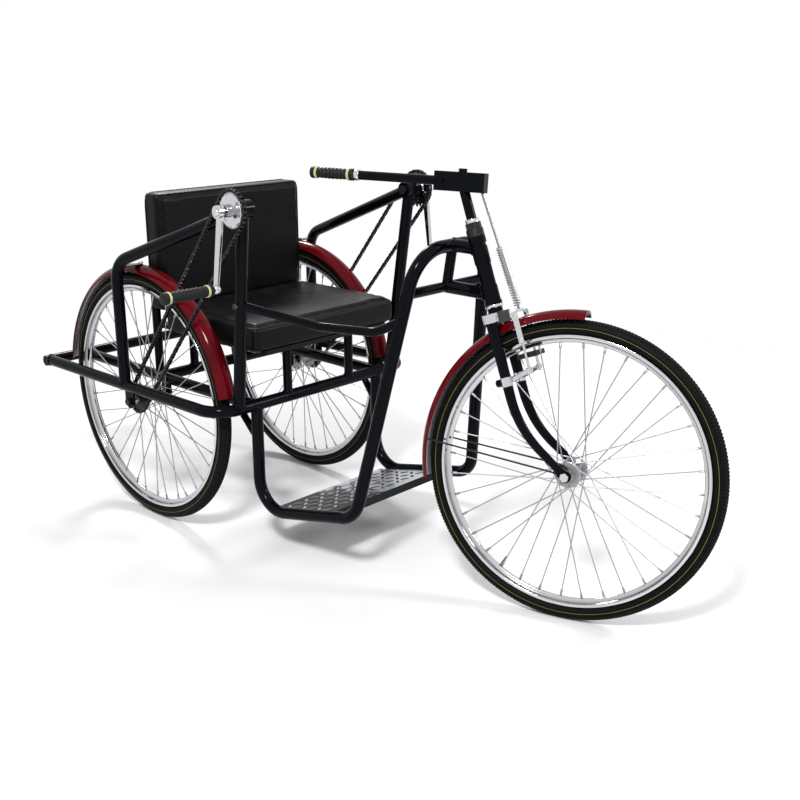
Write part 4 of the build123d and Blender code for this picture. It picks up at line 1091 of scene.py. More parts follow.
@dataclass
class SpokedWheel:
    """Tyre, rim, hub and spokes of one wheel, about the y axis of its place."""

    name: str
    body: str
    place: Place
    flanges: Pair
    hub_ends: Pair
    core: float = 0.3385
    section: float = 0.0185
    tread_blocks: int = 260
    block_steps: int = 5
    tread_depth: float = 0.0018
    tread_edge: float = 1.02
    tread_fade: float = 0.12
    tread_slant: float = 2.2
    tread_cut: float = 0.55
    tread_ring: float = 0.34
    tread_ring_half: float = 0.05
    crown_steps: int = 29
    shoulder: float = 0.06
    wall_steps: int = 9
    rim_seat: float = 0.323
    rim_tuck: float = 0.0003
    rim_half: float = 0.016
    rim_depth: float = 0.019
    rim_steps: int = 256
    flange_radius: float = 0.031
    flange_web: float = 0.0016
    hub_steps: int = 72
    spokes: int = 36
    spoke_radius: float = 0.0015
    spoke_sides: int = 8
    spoke_sweep: float = 60.0
    spoke_hole: float = 0.003
    spoke_stagger: float = 0.0022
    spoke_clear: float = 0.0004
    spoke_head: Pair = (0.0027, 0.0015)
    spoke_head_lift: float = 0.0012
    nipple_length: float = 0.013
    valve_angle: float = -2.46
    valve_length: float = 0.03
    valve_steps: int = 14

    def build(self) -> None:
        """Make the wheel's pieces."""
        self.build_tyre()
        self.build_rim()
        self.build_hub()
        self.build_spokes()
        self.build_valve()

    def build_tyre(self) -> None:
        """Tyre: a circular section, open at the rim, carried round with slanted tread blocks.

        The section is core + s cos f across radius and s sin f along the axle. The tread sinks
        by its depth where a wave along the rim and a wave round the section leave a groove.
        """
        steps = self.tread_blocks * self.block_steps
        edge = math.acos((self.rim_seat - self.core) / self.section)
        crown = np.linspace(-self.tread_edge, self.tread_edge, self.crown_steps)
        wall = np.linspace(self.tread_edge + self.shoulder, edge, self.wall_steps)
        round_section = np.concatenate([-wall[::-1], crown, wall])
        a, f = np.meshgrid(full_turn(steps), round_section, indexing="ij")
        across = np.cos(a * self.tread_blocks + self.tread_slant * np.abs(f)) > self.tread_cut
        rings = np.abs(np.abs(f) - self.tread_ring) < self.tread_ring_half
        groove = ((across | rings) & (np.abs(f) < self.tread_edge)).astype(float)
        fade = np.clip((self.tread_edge - np.abs(f)) / self.tread_fade, 0.0, 1.0)
        reach = self.section - self.tread_depth * groove * fade
        points = about_axle(self.core + reach * np.cos(f), reach * np.sin(f), a)
        surface = Surface(
            points.reshape(-1, 3),
            lattice(steps, len(round_section), True, True),
            {"section": f.ravel(), "groove": groove.ravel()},
        )
        make_piece(
            f"tyre_{self.name}_treaded", surface.placed(self.place), TYRE, self.body,
            (f"tyre_{self.name}",),
        )

    def build_rim(self) -> None:
        """Rim: rolled edges, a flat brake land on each side and a rounded ridge, with painted shade darkening the
        hollows.
        """
        half = self.rim_half
        deep = self.rim_depth
        side = np.array([
            (0.0, half - 0.0030), (0.0, half - 0.0008), (-0.0008, half), (-0.0050, half),
            (-0.0072, half - 0.0008), (-0.0084, half - 0.0026), (-0.0096, half - 0.0078),
            (-0.0108, half - 0.0092), (-0.0160, half - 0.0103), (0.0008 - deep, half - 0.0120),
            (-deep, half - 0.0138),
        ])
        seat = self.rim_seat - self.rim_tuck
        profile = np.concatenate([side, side[::-1] * [1.0, -1.0]]) + [seat, 0.0]
        # Painted shade at each point of the profile, darkest in the hollow inside the brake land.
        shade = np.array([0.3, 0.2, 0.0, 0.0, 0.35, 0.9, 0.6, 0.35, 0.1, 0.0, 0.1])
        surface = turned(profile, self.rim_steps)
        surface.marks["shade"] = np.tile(np.concatenate([shade, shade[::-1]]), self.rim_steps)
        make_piece(
            f"rim_{self.name}_plated", surface.placed(self.place), RIM, self.body,
            (f"rim_{self.name}",), crease=50.0,
        )

    def build_hub(self) -> None:
        """Hub: a waisted barrel between two dished flanges, with a bearing cone at each end and painted shade
        where the flanges meet the barrel.
        """
        low, high = sorted(self.hub_ends)
        inner, outer = sorted(self.flanges)
        web = self.flange_web
        top = self.flange_radius
        profile = np.array([
            (0.0064, low), (0.0095, low), (0.0110, low + 0.0015), (0.0110, inner - 0.0045),
            (0.0165, inner - 0.0030), (top - 0.0015, inner - web), (top, inner - 0.5 * web),
            (top, inner + 0.5 * web), (top - 0.0015, inner + web), (0.0185, inner + 0.0035),
            (0.0145, inner + 0.0095), (0.0130, (inner + outer) / 2), (0.0145, outer - 0.0095),
            (0.0185, outer - 0.0035), (top - 0.0015, outer - web), (top, outer - 0.5 * web),
            (top, outer + 0.5 * web), (top - 0.0015, outer + web), (0.0165, outer + 0.0030),
            (0.0110, outer + 0.0045), (0.0110, high - 0.0015), (0.0095, high), (0.0064, high),
        ])
        # Painted shade at each point of the profile: dark where the flanges meet the barrel, light at the flange
        # rims.
        shade = [0.6, 0.4, 0.3, 0.5, 0.9, 0.5, 0.1, 0.1, 0.5, 0.9, 0.7]
        surface = turned(profile, self.hub_steps)
        surface.marks["shade"] = np.tile(shade + [0.6] + shade[::-1], self.hub_steps)
        make_piece(
            f"hub_{self.name}_plated", surface.placed(self.place), HUB, self.body,
            (f"hub_{self.name}",), crease=55.0,
        )

    def spoke_ends(self) -> tuple[Array, Array]:
        """Ends of each spoke at the flange and at the rim, laced in crossing pairs.

        Returns:
            Points at the hub and points at the rim.
        """
        number = np.arange(self.spokes)
        near = number % 2 == 0
        lay = np.where(number % 4 < 2, -1.0, 1.0)
        rim_angle = full_turn(self.spokes)
        hub_angle = rim_angle - lay * math.radians(self.spoke_sweep)
        inner, outer = sorted(self.flanges)
        along = np.where(near, inner, outer) + lay * self.flange_web
        start = about_axle(self.flange_radius - self.spoke_hole, along, hub_angle)
        reach = self.rim_seat - self.rim_depth - self.spoke_clear
        end = about_axle(reach, np.where(near, -1, 1) * self.spoke_stagger, rim_angle)
        return start, end

    def build_spokes(self) -> None:
        """Spokes: thin round wires with a nipple at the rim, as one array over all of them.

        A spoke's ring at share t is start + t (end - start) + r(t) (cos a N + sin a B).
        """
        start, end = self.spoke_ends()
        run = end - start
        length = np.linalg.norm(run, axis=-1)
        along = unit(run)
        across = unit(np.cross(along, LEFT))
        over = np.cross(along, across)
        nipple = 1.0 - self.nipple_length / length.mean()
        share = np.array([0.0, 0.0, 0.5, nipple, nipple, nipple + 0.001, 0.998, 1.0, 1.0])
        radius = self.spoke_radius * np.array([0.0, 1.0, 1.0, 1.0, 1.7, 1.9, 1.9, 1.6, 0.0])
        angle = full_turn(self.spoke_sides)
        ring = across[:, None] * np.cos(angle)[:, None] + over[:, None] * np.sin(angle)[:, None]
        centre = start[:, None] + run[:, None] * share[:, None]
        points = centre[:, :, None] + ring[:, None] * radius[:, None, None]
        one = lattice(len(share), len(angle), False, True)
        shift = np.arange(self.spokes) * len(share) * len(angle)
        wires = Surface(points.reshape(-1, 3), (one[None] + shift[:, None, None]).reshape(-1, 4))
        middle = sum(self.flanges) / 2
        outs = [LEFT * np.sign(point[1] - middle) for point in start]
        spots = [facing(point + out * self.spoke_head_lift, out) for point, out in zip(start, outs)]
        heads = copies(outward(dome(*self.spoke_head)), spots)
        surface = joined([outward(wires), heads])
        make_piece(
            f"spokes_{self.name}", surface.placed(self.place), SILVER, self.body
        )

    def build_valve(self) -> None:
        """Valve: a brass stem out of the rim towards the hub, with a nut at the rim."""
        place = self.place
        reach = self.rim_seat - self.rim_depth - self.valve_length
        out = np.array([math.cos(self.valve_angle), 0.0, math.sin(self.valve_angle)])
        across = place.direction(np.cross(out, LEFT))
        stem = Place(place.points(out * reach), across, place.direction(out), place.y)
        long = self.valve_length
        profile = np.array([
            (0.0, 0.0), (0.0024, 0.0004), (0.0027, 0.004), (0.0027, long), (0.0044, long + 0.0002),
            (0.0044, long + 0.0034), (0.0, long + 0.0035),
        ])
        valve = turned(profile, self.valve_steps, False).placed(stem)
        make_piece(f"valve_{self.name}", valve, BRASS, self.body)


@dataclass
class ChainDrive:
    """Chain of one side, link by link."""

    side: Side
    pitch: float = 0.0127
    chainwheel_teeth: int = 24
    sprocket_teeth: int = 18
    plate_half: float = 0.0041
    plate_gap: float = 0.0062
    plate_thick: float = 0.0012
    plate_steps: int = 12
    waist: float = 0.72
    waist_reach: float = 0.2
    roller: float = 0.0036
    roller_sides: int = 8

    def pins(self) -> Array:
        """Pin places along the closed chain line, in (X, Z).

        The line is two straight runs, tangent to both pitch circles, and the arc of each circle
        between them. Each station along it is worked out from its share of the whole length.

        Returns:
            One point for each pin.
        """
        axle = middle_of(f"sprocket_{self.side.word}")[[0, 2]]
        crank = crank_centre(self.side)[[0, 2]]
        small = self.pitch / (2 * math.sin(math.pi / self.sprocket_teeth))
        large = self.pitch / (2 * math.sin(math.pi / self.chainwheel_teeth))
        run = crank - axle
        distance = float(np.linalg.norm(run))
        tilt = math.atan2(run[1], run[0])
        taper = math.asin((large - small) / distance)
        straight = distance * math.cos(taper)
        arc_large = large * (math.pi + 2 * taper)
        arc_small = small * (math.pi - 2 * taper)
        total = 2 * straight + arc_large + arc_small
        count = 2 * round(total / self.pitch / 2)
        s = np.arange(count) * total / count
        upper = tilt + math.pi / 2 + taper
        lower = tilt - math.pi / 2 - taper
        turn_up = compass(upper)
        turn_down = compass(lower)
        share = (s / straight)[:, None]
        rising = (axle + small * turn_up) * (1 - share) + (crank + large * turn_up) * share
        over = crank + large * compass(upper - (s - straight) / large)
        share = ((s - straight - arc_large) / straight)[:, None]
        falling = (crank + large * turn_down) * (1 - share) + (axle + small * turn_down) * share
        under = axle + small * compass(lower - (s - 2 * straight - arc_large) / small)
        bounds = np.array([straight, straight + arc_large, 2 * straight + arc_large])
        stretch = np.digitize(s, bounds)[:, None]
        return np.select([stretch == 0, stretch == 1, stretch == 2], [rising, over, falling], under)

    def links(self) -> Surface:
        """Links: waisted side plates between each pair of pins, and a roller at each pin.

        A plate's outline at angle a is half the pitch along plus its radius, narrowed at the
        waist, in the frame of its two pins.

        Returns:
            All the side's links.
        """
        pins = self.pins()
        ahead = np.roll(pins, -1, axis=0)
        middle = (pins + ahead) / 2
        along = unit(ahead - pins)
        across = np.stack([-along[:, 1], along[:, 0]], axis=-1)
        cosine, sine = compass(full_turn(self.plate_steps)).T
        stretch = cosine * self.plate_half + np.sign(cosine.round(6)) * self.pitch / 2
        height = sine * self.plate_half * np.where(np.abs(cosine) < self.waist_reach, self.waist, 1.0)
        outline = along[:, None] * stretch[:, None] + across[:, None] * height[:, None]
        grow = np.array([0.0, 1.0, 1.0, 0.0])
        rings = middle[:, None, None] + outline[:, None] * grow[:, None, None]
        y = self.side.value * abs(crank_centre(self.side)[1])
        inner = self.plate_gap / 2
        outer = np.where(np.arange(len(pins)) % 2 == 0, inner + self.plate_thick, inner)
        hands = np.array([-1.0, 1.0])
        sheets = np.array([0.0, 0.0, 1.0, 1.0]) * self.plate_thick
        plate_y = y + hands[:, None] * (outer[:, None, None] + sheets)
        points = np.empty((len(pins), len(hands), len(sheets), self.plate_steps, 3))
        points[..., 0] = rings[:, None, :, :, 0]
        points[..., 2] = rings[:, None, :, :, 1]
        points[..., 1] = plate_y[..., None]
        one = lattice(len(sheets), self.plate_steps, False, True)
        flip = np.stack([one[:, ::-1], one])
        shift = np.arange(len(pins) * 2).reshape(-1, 2) * len(sheets) * self.plate_steps
        quads = flip[None] + shift[:, :, None, None]
        plates = Surface(points.reshape(-1, 3), quads.reshape(-1, 4))
        barrel = np.array([(0.0, -inner), (self.roller, -inner), (self.roller, inner), (0.0, inner)])
        spots = [Place(np.array([pin[0], y, pin[1]]), FORWARD, LEFT, UP) for pin in pins]
        rollers = copies(turned(barrel, self.roller_sides, False), spots)
        return joined([outward(plates), outward(rollers)])


@dataclass
class HandGrip:
    """Ribbed rubber grip on a pin, with a coloured ring near each end."""

    name: str
    body: str
    place: Place
    length: float
    radius: float
    stands_for: str
    ribs: int = 8
    rib_steps: int = 12
    rib_depth: float = 0.0014
    rib_square: float = 1.6
    swell: float = 0.0012
    ring_inset: float = 0.013
    ring_width: float = 0.006
    ring_proud: float = 0.0002
    sides: int = 40

    def build(self) -> None:
        """Make the grip and its rings."""
        inset = self.ring_inset
        width = self.ring_width
        top = self.radius
        start = inset + width
        end = self.length - inset - width
        along = np.linspace(start, end, self.ribs * self.rib_steps + 1)
        share = (along - start) / (end - start)
        wave = np.clip(np.cos(share * self.ribs * TURN) * self.rib_square, -1.0, 1.0)
        swell = self.swell * np.sin(share * math.pi)
        body = top - self.rib_depth + self.rib_depth * wave / 2 + swell - self.swell
        head = np.array([
            (0.0, 0.0), (top - 0.004, 0.0), (top - 0.001, 0.0014), (top, 0.004), (top, inset - 0.0006),
            (top - 0.0012, inset),
        ])
        tail = head[::-1] * [1.0, -1.0] + [0.0, self.length]
        profile = np.concatenate([head, np.stack([body, along], axis=-1), tail])
        rubber = turned(profile, self.sides, False).placed(self.place)
        make_piece(
            f"{self.name}_ribbed", rubber, GRIP, self.body, (self.stands_for,),
            crease=60.0,
        )
        proud = top + self.ring_proud
        band = np.array([
            (top - 0.003, 0.0), (top - 0.0004, 0.0), (proud, 0.0012), (proud, width - 0.0012),
            (top - 0.0004, width), (top - 0.003, width),
        ])
        rings = copies(turned(band, self.sides), [self.place.moved(y=inset), self.place.moved(y=end)])
        make_piece(f"{self.name}_rings", rings, RING, self.body)


@dataclass
class Mudguard:
    """Curved sheet guard over one wheel: painted outside, bare inside, with a bead at each edge."""

    place: Place
    radius: float
    start: float
    end: float
    half: float = 0.027
    crown: float = 0.018
    sheet: float = 0.0016
    bead: float = 0.0018
    stations: int = 120
    arch_steps: int = 25
    bead_steps: int = 9

    @staticmethod
    def arc(centre: Sequence[float], reach: float, angle: Array) -> Array:
        """Points of an arc about a centre, as (radius, across) pairs."""
        return np.array(centre) + reach * compass(angle)

    def surface(self) -> Surface:
        """Arched section carried round the wheel: (r cos a, across, r sin a) at each angle a.

        The section is the outer arc, a bead, the inner arc and the other bead. At both ends it
        closes on its own middle line.

        Returns:
            The guard, in the row frame.
        """
        arch = (self.half**2 + self.crown**2) / (2 * self.crown)
        centre = (self.radius - arch, 0.0)
        spread = math.asin(self.half / arch)
        sweep = np.linspace(-spread, spread, self.arch_steps)
        middle = arch - self.sheet / 2
        edges = self.arc(centre, middle, np.array([spread, -spread]))
        roll = np.linspace(0.0, math.pi, self.bead_steps)
        section = np.concatenate([
            self.arc(centre, arch, sweep),
            self.arc(edges[0], self.bead, spread + roll),
            self.arc(centre, arch - self.sheet, sweep[::-1]),
            self.arc(edges[1], self.bead, -spread - roll[::-1]),
        ])
        line = np.concatenate([
            self.arc(centre, middle, sweep), edges[:1].repeat(len(roll), axis=0),
            self.arc(centre, middle, sweep[::-1]), edges[1:].repeat(len(roll), axis=0),
        ])
        inside = np.repeat([0.0, 0.0, 1.0, 0.0], [len(sweep), len(roll), len(sweep), len(roll)])
        angle = np.radians(np.linspace(self.start, self.end, self.stations))
        angle = np.concatenate([angle[:1], angle, angle[-1:]])
        rings = np.concatenate([line[None], np.tile(section, (self.stations, 1, 1)), line[None]])
        points = about_axle(rings[..., 0], rings[..., 1], angle[:, None])
        made = Surface(
            points.reshape(-1, 3), lattice(len(angle), len(section), False, True),
            {"inside": np.tile(inside, len(angle))},
        )
        return outward(made).placed(self.place)


@dataclass
class Guards:
    """The three mudguards with their bolts."""

    gap: float = 0.023
    front_gap: float = 0.022
    tyre: float = 0.357
    rear_span: Pair = (11.0, 172.0)
    front_span: Pair = (69.0, 171.0)
    lug: float = 0.020
    lug_height: float = 0.014
    lug_lift: float = 0.006
    bolt: Pair = (0.0065, 0.005)

    def build(self) -> None:
        """Make the guards, the front one's lug and the bolts of the rear straps."""
        centres = [joint_centre(f"rear_wheel_{side.word}_spin") for side in Side]
        places = [Place(centre, FORWARD, LEFT, UP) for centre in centres]
        rear = [Mudguard(place, self.tyre + self.gap, *self.rear_span).surface() for place in places]
        make_piece("rear_guards", joined(rear), MAROON, "frame", ("rear_mudguards",))
        front = Mudguard(FRONT, self.tyre + self.front_gap, *self.front_span).surface()
        rake = float(np.dot(FRONT.origin - STEER.origin, STEER.x))
        level = math.sqrt((self.tyre + self.front_gap) ** 2 - (rake + self.lug / 2) ** 2)
        lug = slab((self.lug, self.lug, self.lug_height), 0.003, 0.001)
        lug.marks["inside"] = np.zeros(len(lug.points))
        lug = lug.placed(FRONT.moved(x=-rake, z=level + self.lug_lift))
        make_piece(
            "front_guard", joined([front, outward(lug)]), MAROON, "steering",
            ("front_mudguard",),
        )
        strap = middle_of("mudguard_straps")[0]
        top = corners("mudguard_straps")[1][2]
        heads = [facing(np.array([strap, place.origin[1], top]), UP) for place in places]
        bolts = copies(hexagon(*self.bolt), heads)
        make_piece("guard_bolts", bolts, CHROME, "frame")


@dataclass
class SteeringTrim:
    """Bright fittings of the fork, head and brake, and the tiller's grip."""

    crown_y: float = 0.043
    crown_wall: float = 0.003
    crown_depth: float = 0.034
    crown_height: float = 0.027
    cap_width: float = 0.026
    cap_share: float = 0.8
    cap_proud: float = 0.0012
    race_height: float = 0.011
    head_cup: float = 0.016
    head_cup_radius: float = 0.021
    ring_radius: float = 0.016
    ring_height: float = 0.009
    ring_proud: float = 0.0005
    ring_steps: int = 48
    blade: float = 0.011
    blade_y: float = 0.050
    blade_corner: float = 0.130
    blade_bend: float = 0.260
    blade_stop: float = 0.034
    blade_wide: Pair = (0.0144, 0.0098)
    blade_flat: float = 0.8
    blade_sides: int = 28
    bend_steps: int = 25
    spring_turns: int = 23
    spring_steps: int = 20
    spring_wire: float = 0.0016
    spring_sides: int = 7
    spring_radius: float = 0.0084
    spring_span: Pair = (0.03, 0.53)
    stirrup_x: float = 0.058
    stirrup_y: float = 0.034
    strap_length: float = 0.076
    strap_width: float = 0.0135
    strap_thick: float = 0.0035
    strap_drop: float = 0.004
    strap_out: float = 0.0052
    strap_bolt: Pair = (0.0046, 0.0022)
    clamp_level: float = 0.592
    clamp_height: float = 0.022
    clamp_shift: float = 0.0018
    clamp_wall: float = 0.0026
    arm_level: float = 0.606
    arm_out: float = 0.0055
    arm_width: float = 0.011
    arm_thick: float = 0.0045
    arm_past: float = 0.012
    leg_radius: float = 0.0034
    knob: Pair = (0.0088, 0.013)
    grip_length: float = 0.122
    grip_radius: float = 0.0145

    def build(self) -> None:
        """Make each fitting."""
        self.build_head()
        self.build_spring()
        self.build_blades()
        self.build_straps()
        self.build_clamps()
        self.build_grip()

    @staticmethod
    def level_of(node: str) -> Pair:
        """Lowest and highest level of a node along the steering axis."""
        along = (mesh_points(frame["nodes"][node].data) - STEER.origin) @ STEER.z
        return float(along.min()), float(along.max())

    def build_head(self) -> None:
        """Plated caps on both ends of the crown and plated rings at both ends of the head."""
        bottom = self.level_of("head_tube")[0]
        tall = self.crown_height * self.cap_share
        width = 2 * (self.crown_y + self.blade + self.crown_wall)
        cap = slab((self.crown_depth + self.cap_proud, self.cap_width, tall), self.blade, 0.001)
        aside = (width - self.cap_width + self.cap_proud) / 2
        level = bottom - self.race_height - tall / 2 - 0.001
        ends = [STEER.moved(y=side.value * aside, z=level) for side in Side]
        out = self.head_cup_radius + self.ring_proud
        half = self.head_cup * 0.5
        cup = np.array([
            (out - 0.003, bottom - 0.0003), (out - 0.0008, bottom - 0.0003), (out, bottom + 0.001),
            (out, bottom + self.head_cup * 0.4), (out - 0.0012, bottom + half),
            (out - 0.003, bottom + half),
        ])
        nut_top = self.level_of("headset_nut")[1]
        nut_low = nut_top - self.ring_height
        ring = self.ring_radius + self.ring_proud
        washer = np.array([
            (ring - 0.0035, nut_low), (ring, nut_low), (ring, nut_top - 0.0015),
            (ring - 0.0012, nut_top + 0.0003), (ring - 0.0035, nut_top + 0.0003),
        ])
        rings = [turned(profile, self.ring_steps).placed(STEER.tipped()) for profile in (cup, washer)]
        surface = joined([outward(piece) for piece in (copies(cap, ends), *rings)])
        make_piece("head_fittings", surface, CHROME, "steering")

    @staticmethod
    def rod_line() -> tuple[Array, Array]:
        """Find the brake rod, from the direction in which its points spread furthest.

        Returns:
            Its lower and its upper end.
        """
        points = mesh_points(frame["nodes"]["brake_rod"].data)
        centre = (points.min(axis=0) + points.max(axis=0)) / 2
        along = np.linalg.svd(points - points.mean(axis=0), full_matrices=False)[2][0]
        along = along * np.sign(along[2])
        reach = (points - centre) @ along
        return centre + along * reach.min(), centre + along * reach.max()

    def build_spring(self) -> None:
        """Spring: a wire coiled about the brake rod, with its path a helix.

        At turn t the path is rod(t) + R (cos 2 pi n t U + sin 2 pi n t V).
        """
        low, high = self.rod_line()
        along = unit(high - low)
        across = unit(np.cross(along, LEFT))
        over = np.cross(along, across)
        share = np.linspace(*self.spring_span, self.spring_turns * self.spring_steps)
        turn = (share - share[0]) / (share[-1] - share[0]) * self.spring_turns * TURN
        coil = np.cos(turn)[:, None] * across + np.sin(turn)[:, None] * over
        path = low + share[:, None] * (high - low) + coil * self.spring_radius
        wire = carried(path, self.spring_wire, self.spring_sides, reference=along)
        make_piece("brake_spring", wire, CHROME, "steering")

    def build_blades(self) -> None:
        """Oval sides of the fork: two straight runs and the bend between them, taken down to the tip.

        The bend is the quadratic curve (1 - t)^2 A + 2 t (1 - t) B + t^2 C about the elbow B.
        """
        rake, level = ((FRONT.origin - STEER.origin) @ axis for axis in (STEER.x, STEER.z))
        top = self.level_of("head_tube")[0] - self.race_height - self.crown_height / 2
        t = np.linspace(0.0, 1.0, self.bend_steps)[:, None]
        blades = []
        for side in Side:
            start = np.array([0.0, side.value * self.crown_y, top])
            end = np.array([rake, side.value * self.blade_y, level])
            elbow = np.array([0.0, (start[1] + end[1]) / 2, level + self.blade_corner])
            first = unit(elbow - start)
            second = unit(end - elbow)
            reach = self.blade_bend * math.tan(math.acos(first @ second) / 2)
            before = elbow - first * reach
            after = elbow + second * reach
            bend = (1 - t) ** 2 * before + 2 * t * (1 - t) * elbow + t**2 * after
            path = np.concatenate([start[None], bend, (end - second * self.blade_stop)[None]])
            steps = np.linalg.norm(np.diff(path, axis=0), axis=1)
            share = np.concatenate([[0.0], np.cumsum(steps)]) / steps.sum()
            width = self.blade_wide[0] + share * (self.blade_wide[1] - self.blade_wide[0])
            blade = carried(path, width, self.blade_sides, reference=LEFT, flat=self.blade_flat)
            blades.append(outward(blade).placed(STEER))
        make_piece("fork_blades", joined(blades), BLACK, "steering")

    def build_straps(self) -> None:
        """Flat strap down the outside of each leg of the stirrup."""
        top = self.level_of("brake_stirrup")[1] - self.strap_drop
        long = self.strap_length
        out = self.stirrup_y + self.strap_out
        strap = slab((self.strap_width, long, self.strap_thick), 0.004, 0.0006)
        spots = [STEER.moved(self.stirrup_x, side.value * out, top - long / 2).tipped() for side in Side]
        bolt = outward(dome(*self.strap_bolt))
        heads = [
            Place(
                STEER.points(np.array([self.stirrup_x, side.value * (out + 0.0016), top - level])),
                STEER.x, STEER.y * side.value, STEER.z * side.value,
            )
            for side in Side
            for level in (0.010, long - 0.009)
        ]
        surface = joined([copies(strap, spots), copies(bolt, heads)])
        make_piece("brake_straps", surface, CHROME, "steering")

    def build_clamps(self) -> None:
        """Clamp on each fork blade, with an arm up to the stirrup's leg and a knob behind."""
        out = self.blade + self.clamp_wall
        within = self.blade - 0.001
        half = self.clamp_height / 2
        ring = np.array([
            (within, -half), (out - 0.0008, -half), (out, 0.0008 - half), (out, half - 0.0008),
            (out - 0.0008, half), (within, half),
        ])
        eye = np.array([
            (0.0036, -0.006), (0.0068, -0.006), (0.0072, 0.0), (0.0068, 0.006), (0.0036, 0.006),
        ])
        drop = (self.level_of("brake_stirrup")[0] + 0.002, self.arm_level - 0.010)
        bands = []
        knobs = []
        for side in Side:
            at = STEER.moved(y=side.value * (self.crown_y + self.clamp_shift), z=self.clamp_level)
            bands.append(outward(turned(ring, 32)).placed(at.tipped()))
            toward = side.value * (self.stirrup_y + self.arm_out)
            ends = STEER.points(np.array([
                (self.blade, toward, self.clamp_level), (self.stirrup_x, toward, self.arm_level),
            ]))
            run = unit(ends[1] - ends[0])
            length = np.linalg.norm(ends[1] - ends[0]) + self.arm_past
            arm = slab((length, self.arm_width, self.arm_thick), 0.005, 0.0008)
            bands.append(arm.placed(Place(ends.mean(axis=0), run, np.cross(STEER.y, run), STEER.y)))
            leg_y = side.value * self.stirrup_y
            leg = STEER.points(np.array([(self.stirrup_x, leg_y, level) for level in drop]))
            bands.append(outward(carried(leg, self.leg_radius, 12, reference=STEER.x)))
            spot = STEER.moved(self.stirrup_x, leg_y, self.arm_level).tipped()
            bands.append(outward(turned(eye, 24)).placed(spot))
            back = Place(at.origin - at.x * (self.blade + 0.001), at.z, -at.x, at.y)
            knobs.append(outward(hexagon(*self.knob)).placed(back))
        make_piece("brake_clamps", joined(bands), CHROME, "steering")
        make_piece("clamp_knobs", joined(knobs), BLACK, "steering")

    def build_grip(self) -> None:
        """The tiller's grip and the collar before it, along the bar."""
        lean = math.acos(STEER_AXIS[2])
        along = STEER.x * math.cos(lean) - STEER.z * math.sin(lean)
        start = middle_of("tiller_grip") + along * self.grip_length / 2
        place = upright(start, -along)
        HandGrip(
            "tiller_grip", "steering", place, self.grip_length, self.grip_radius, "tiller_grip"
        ).build()
        profile = np.array([
            (0.0105, -0.0135), (0.0124, -0.0135), (0.0132, -0.0122), (0.0132, -0.0018), (0.0124, -0.0006),
            (0.0105, -0.0006),
        ])
        collar = turned(profile, 32).placed(place)
        make_piece("tiller_collar", collar, CHROME, "steering")


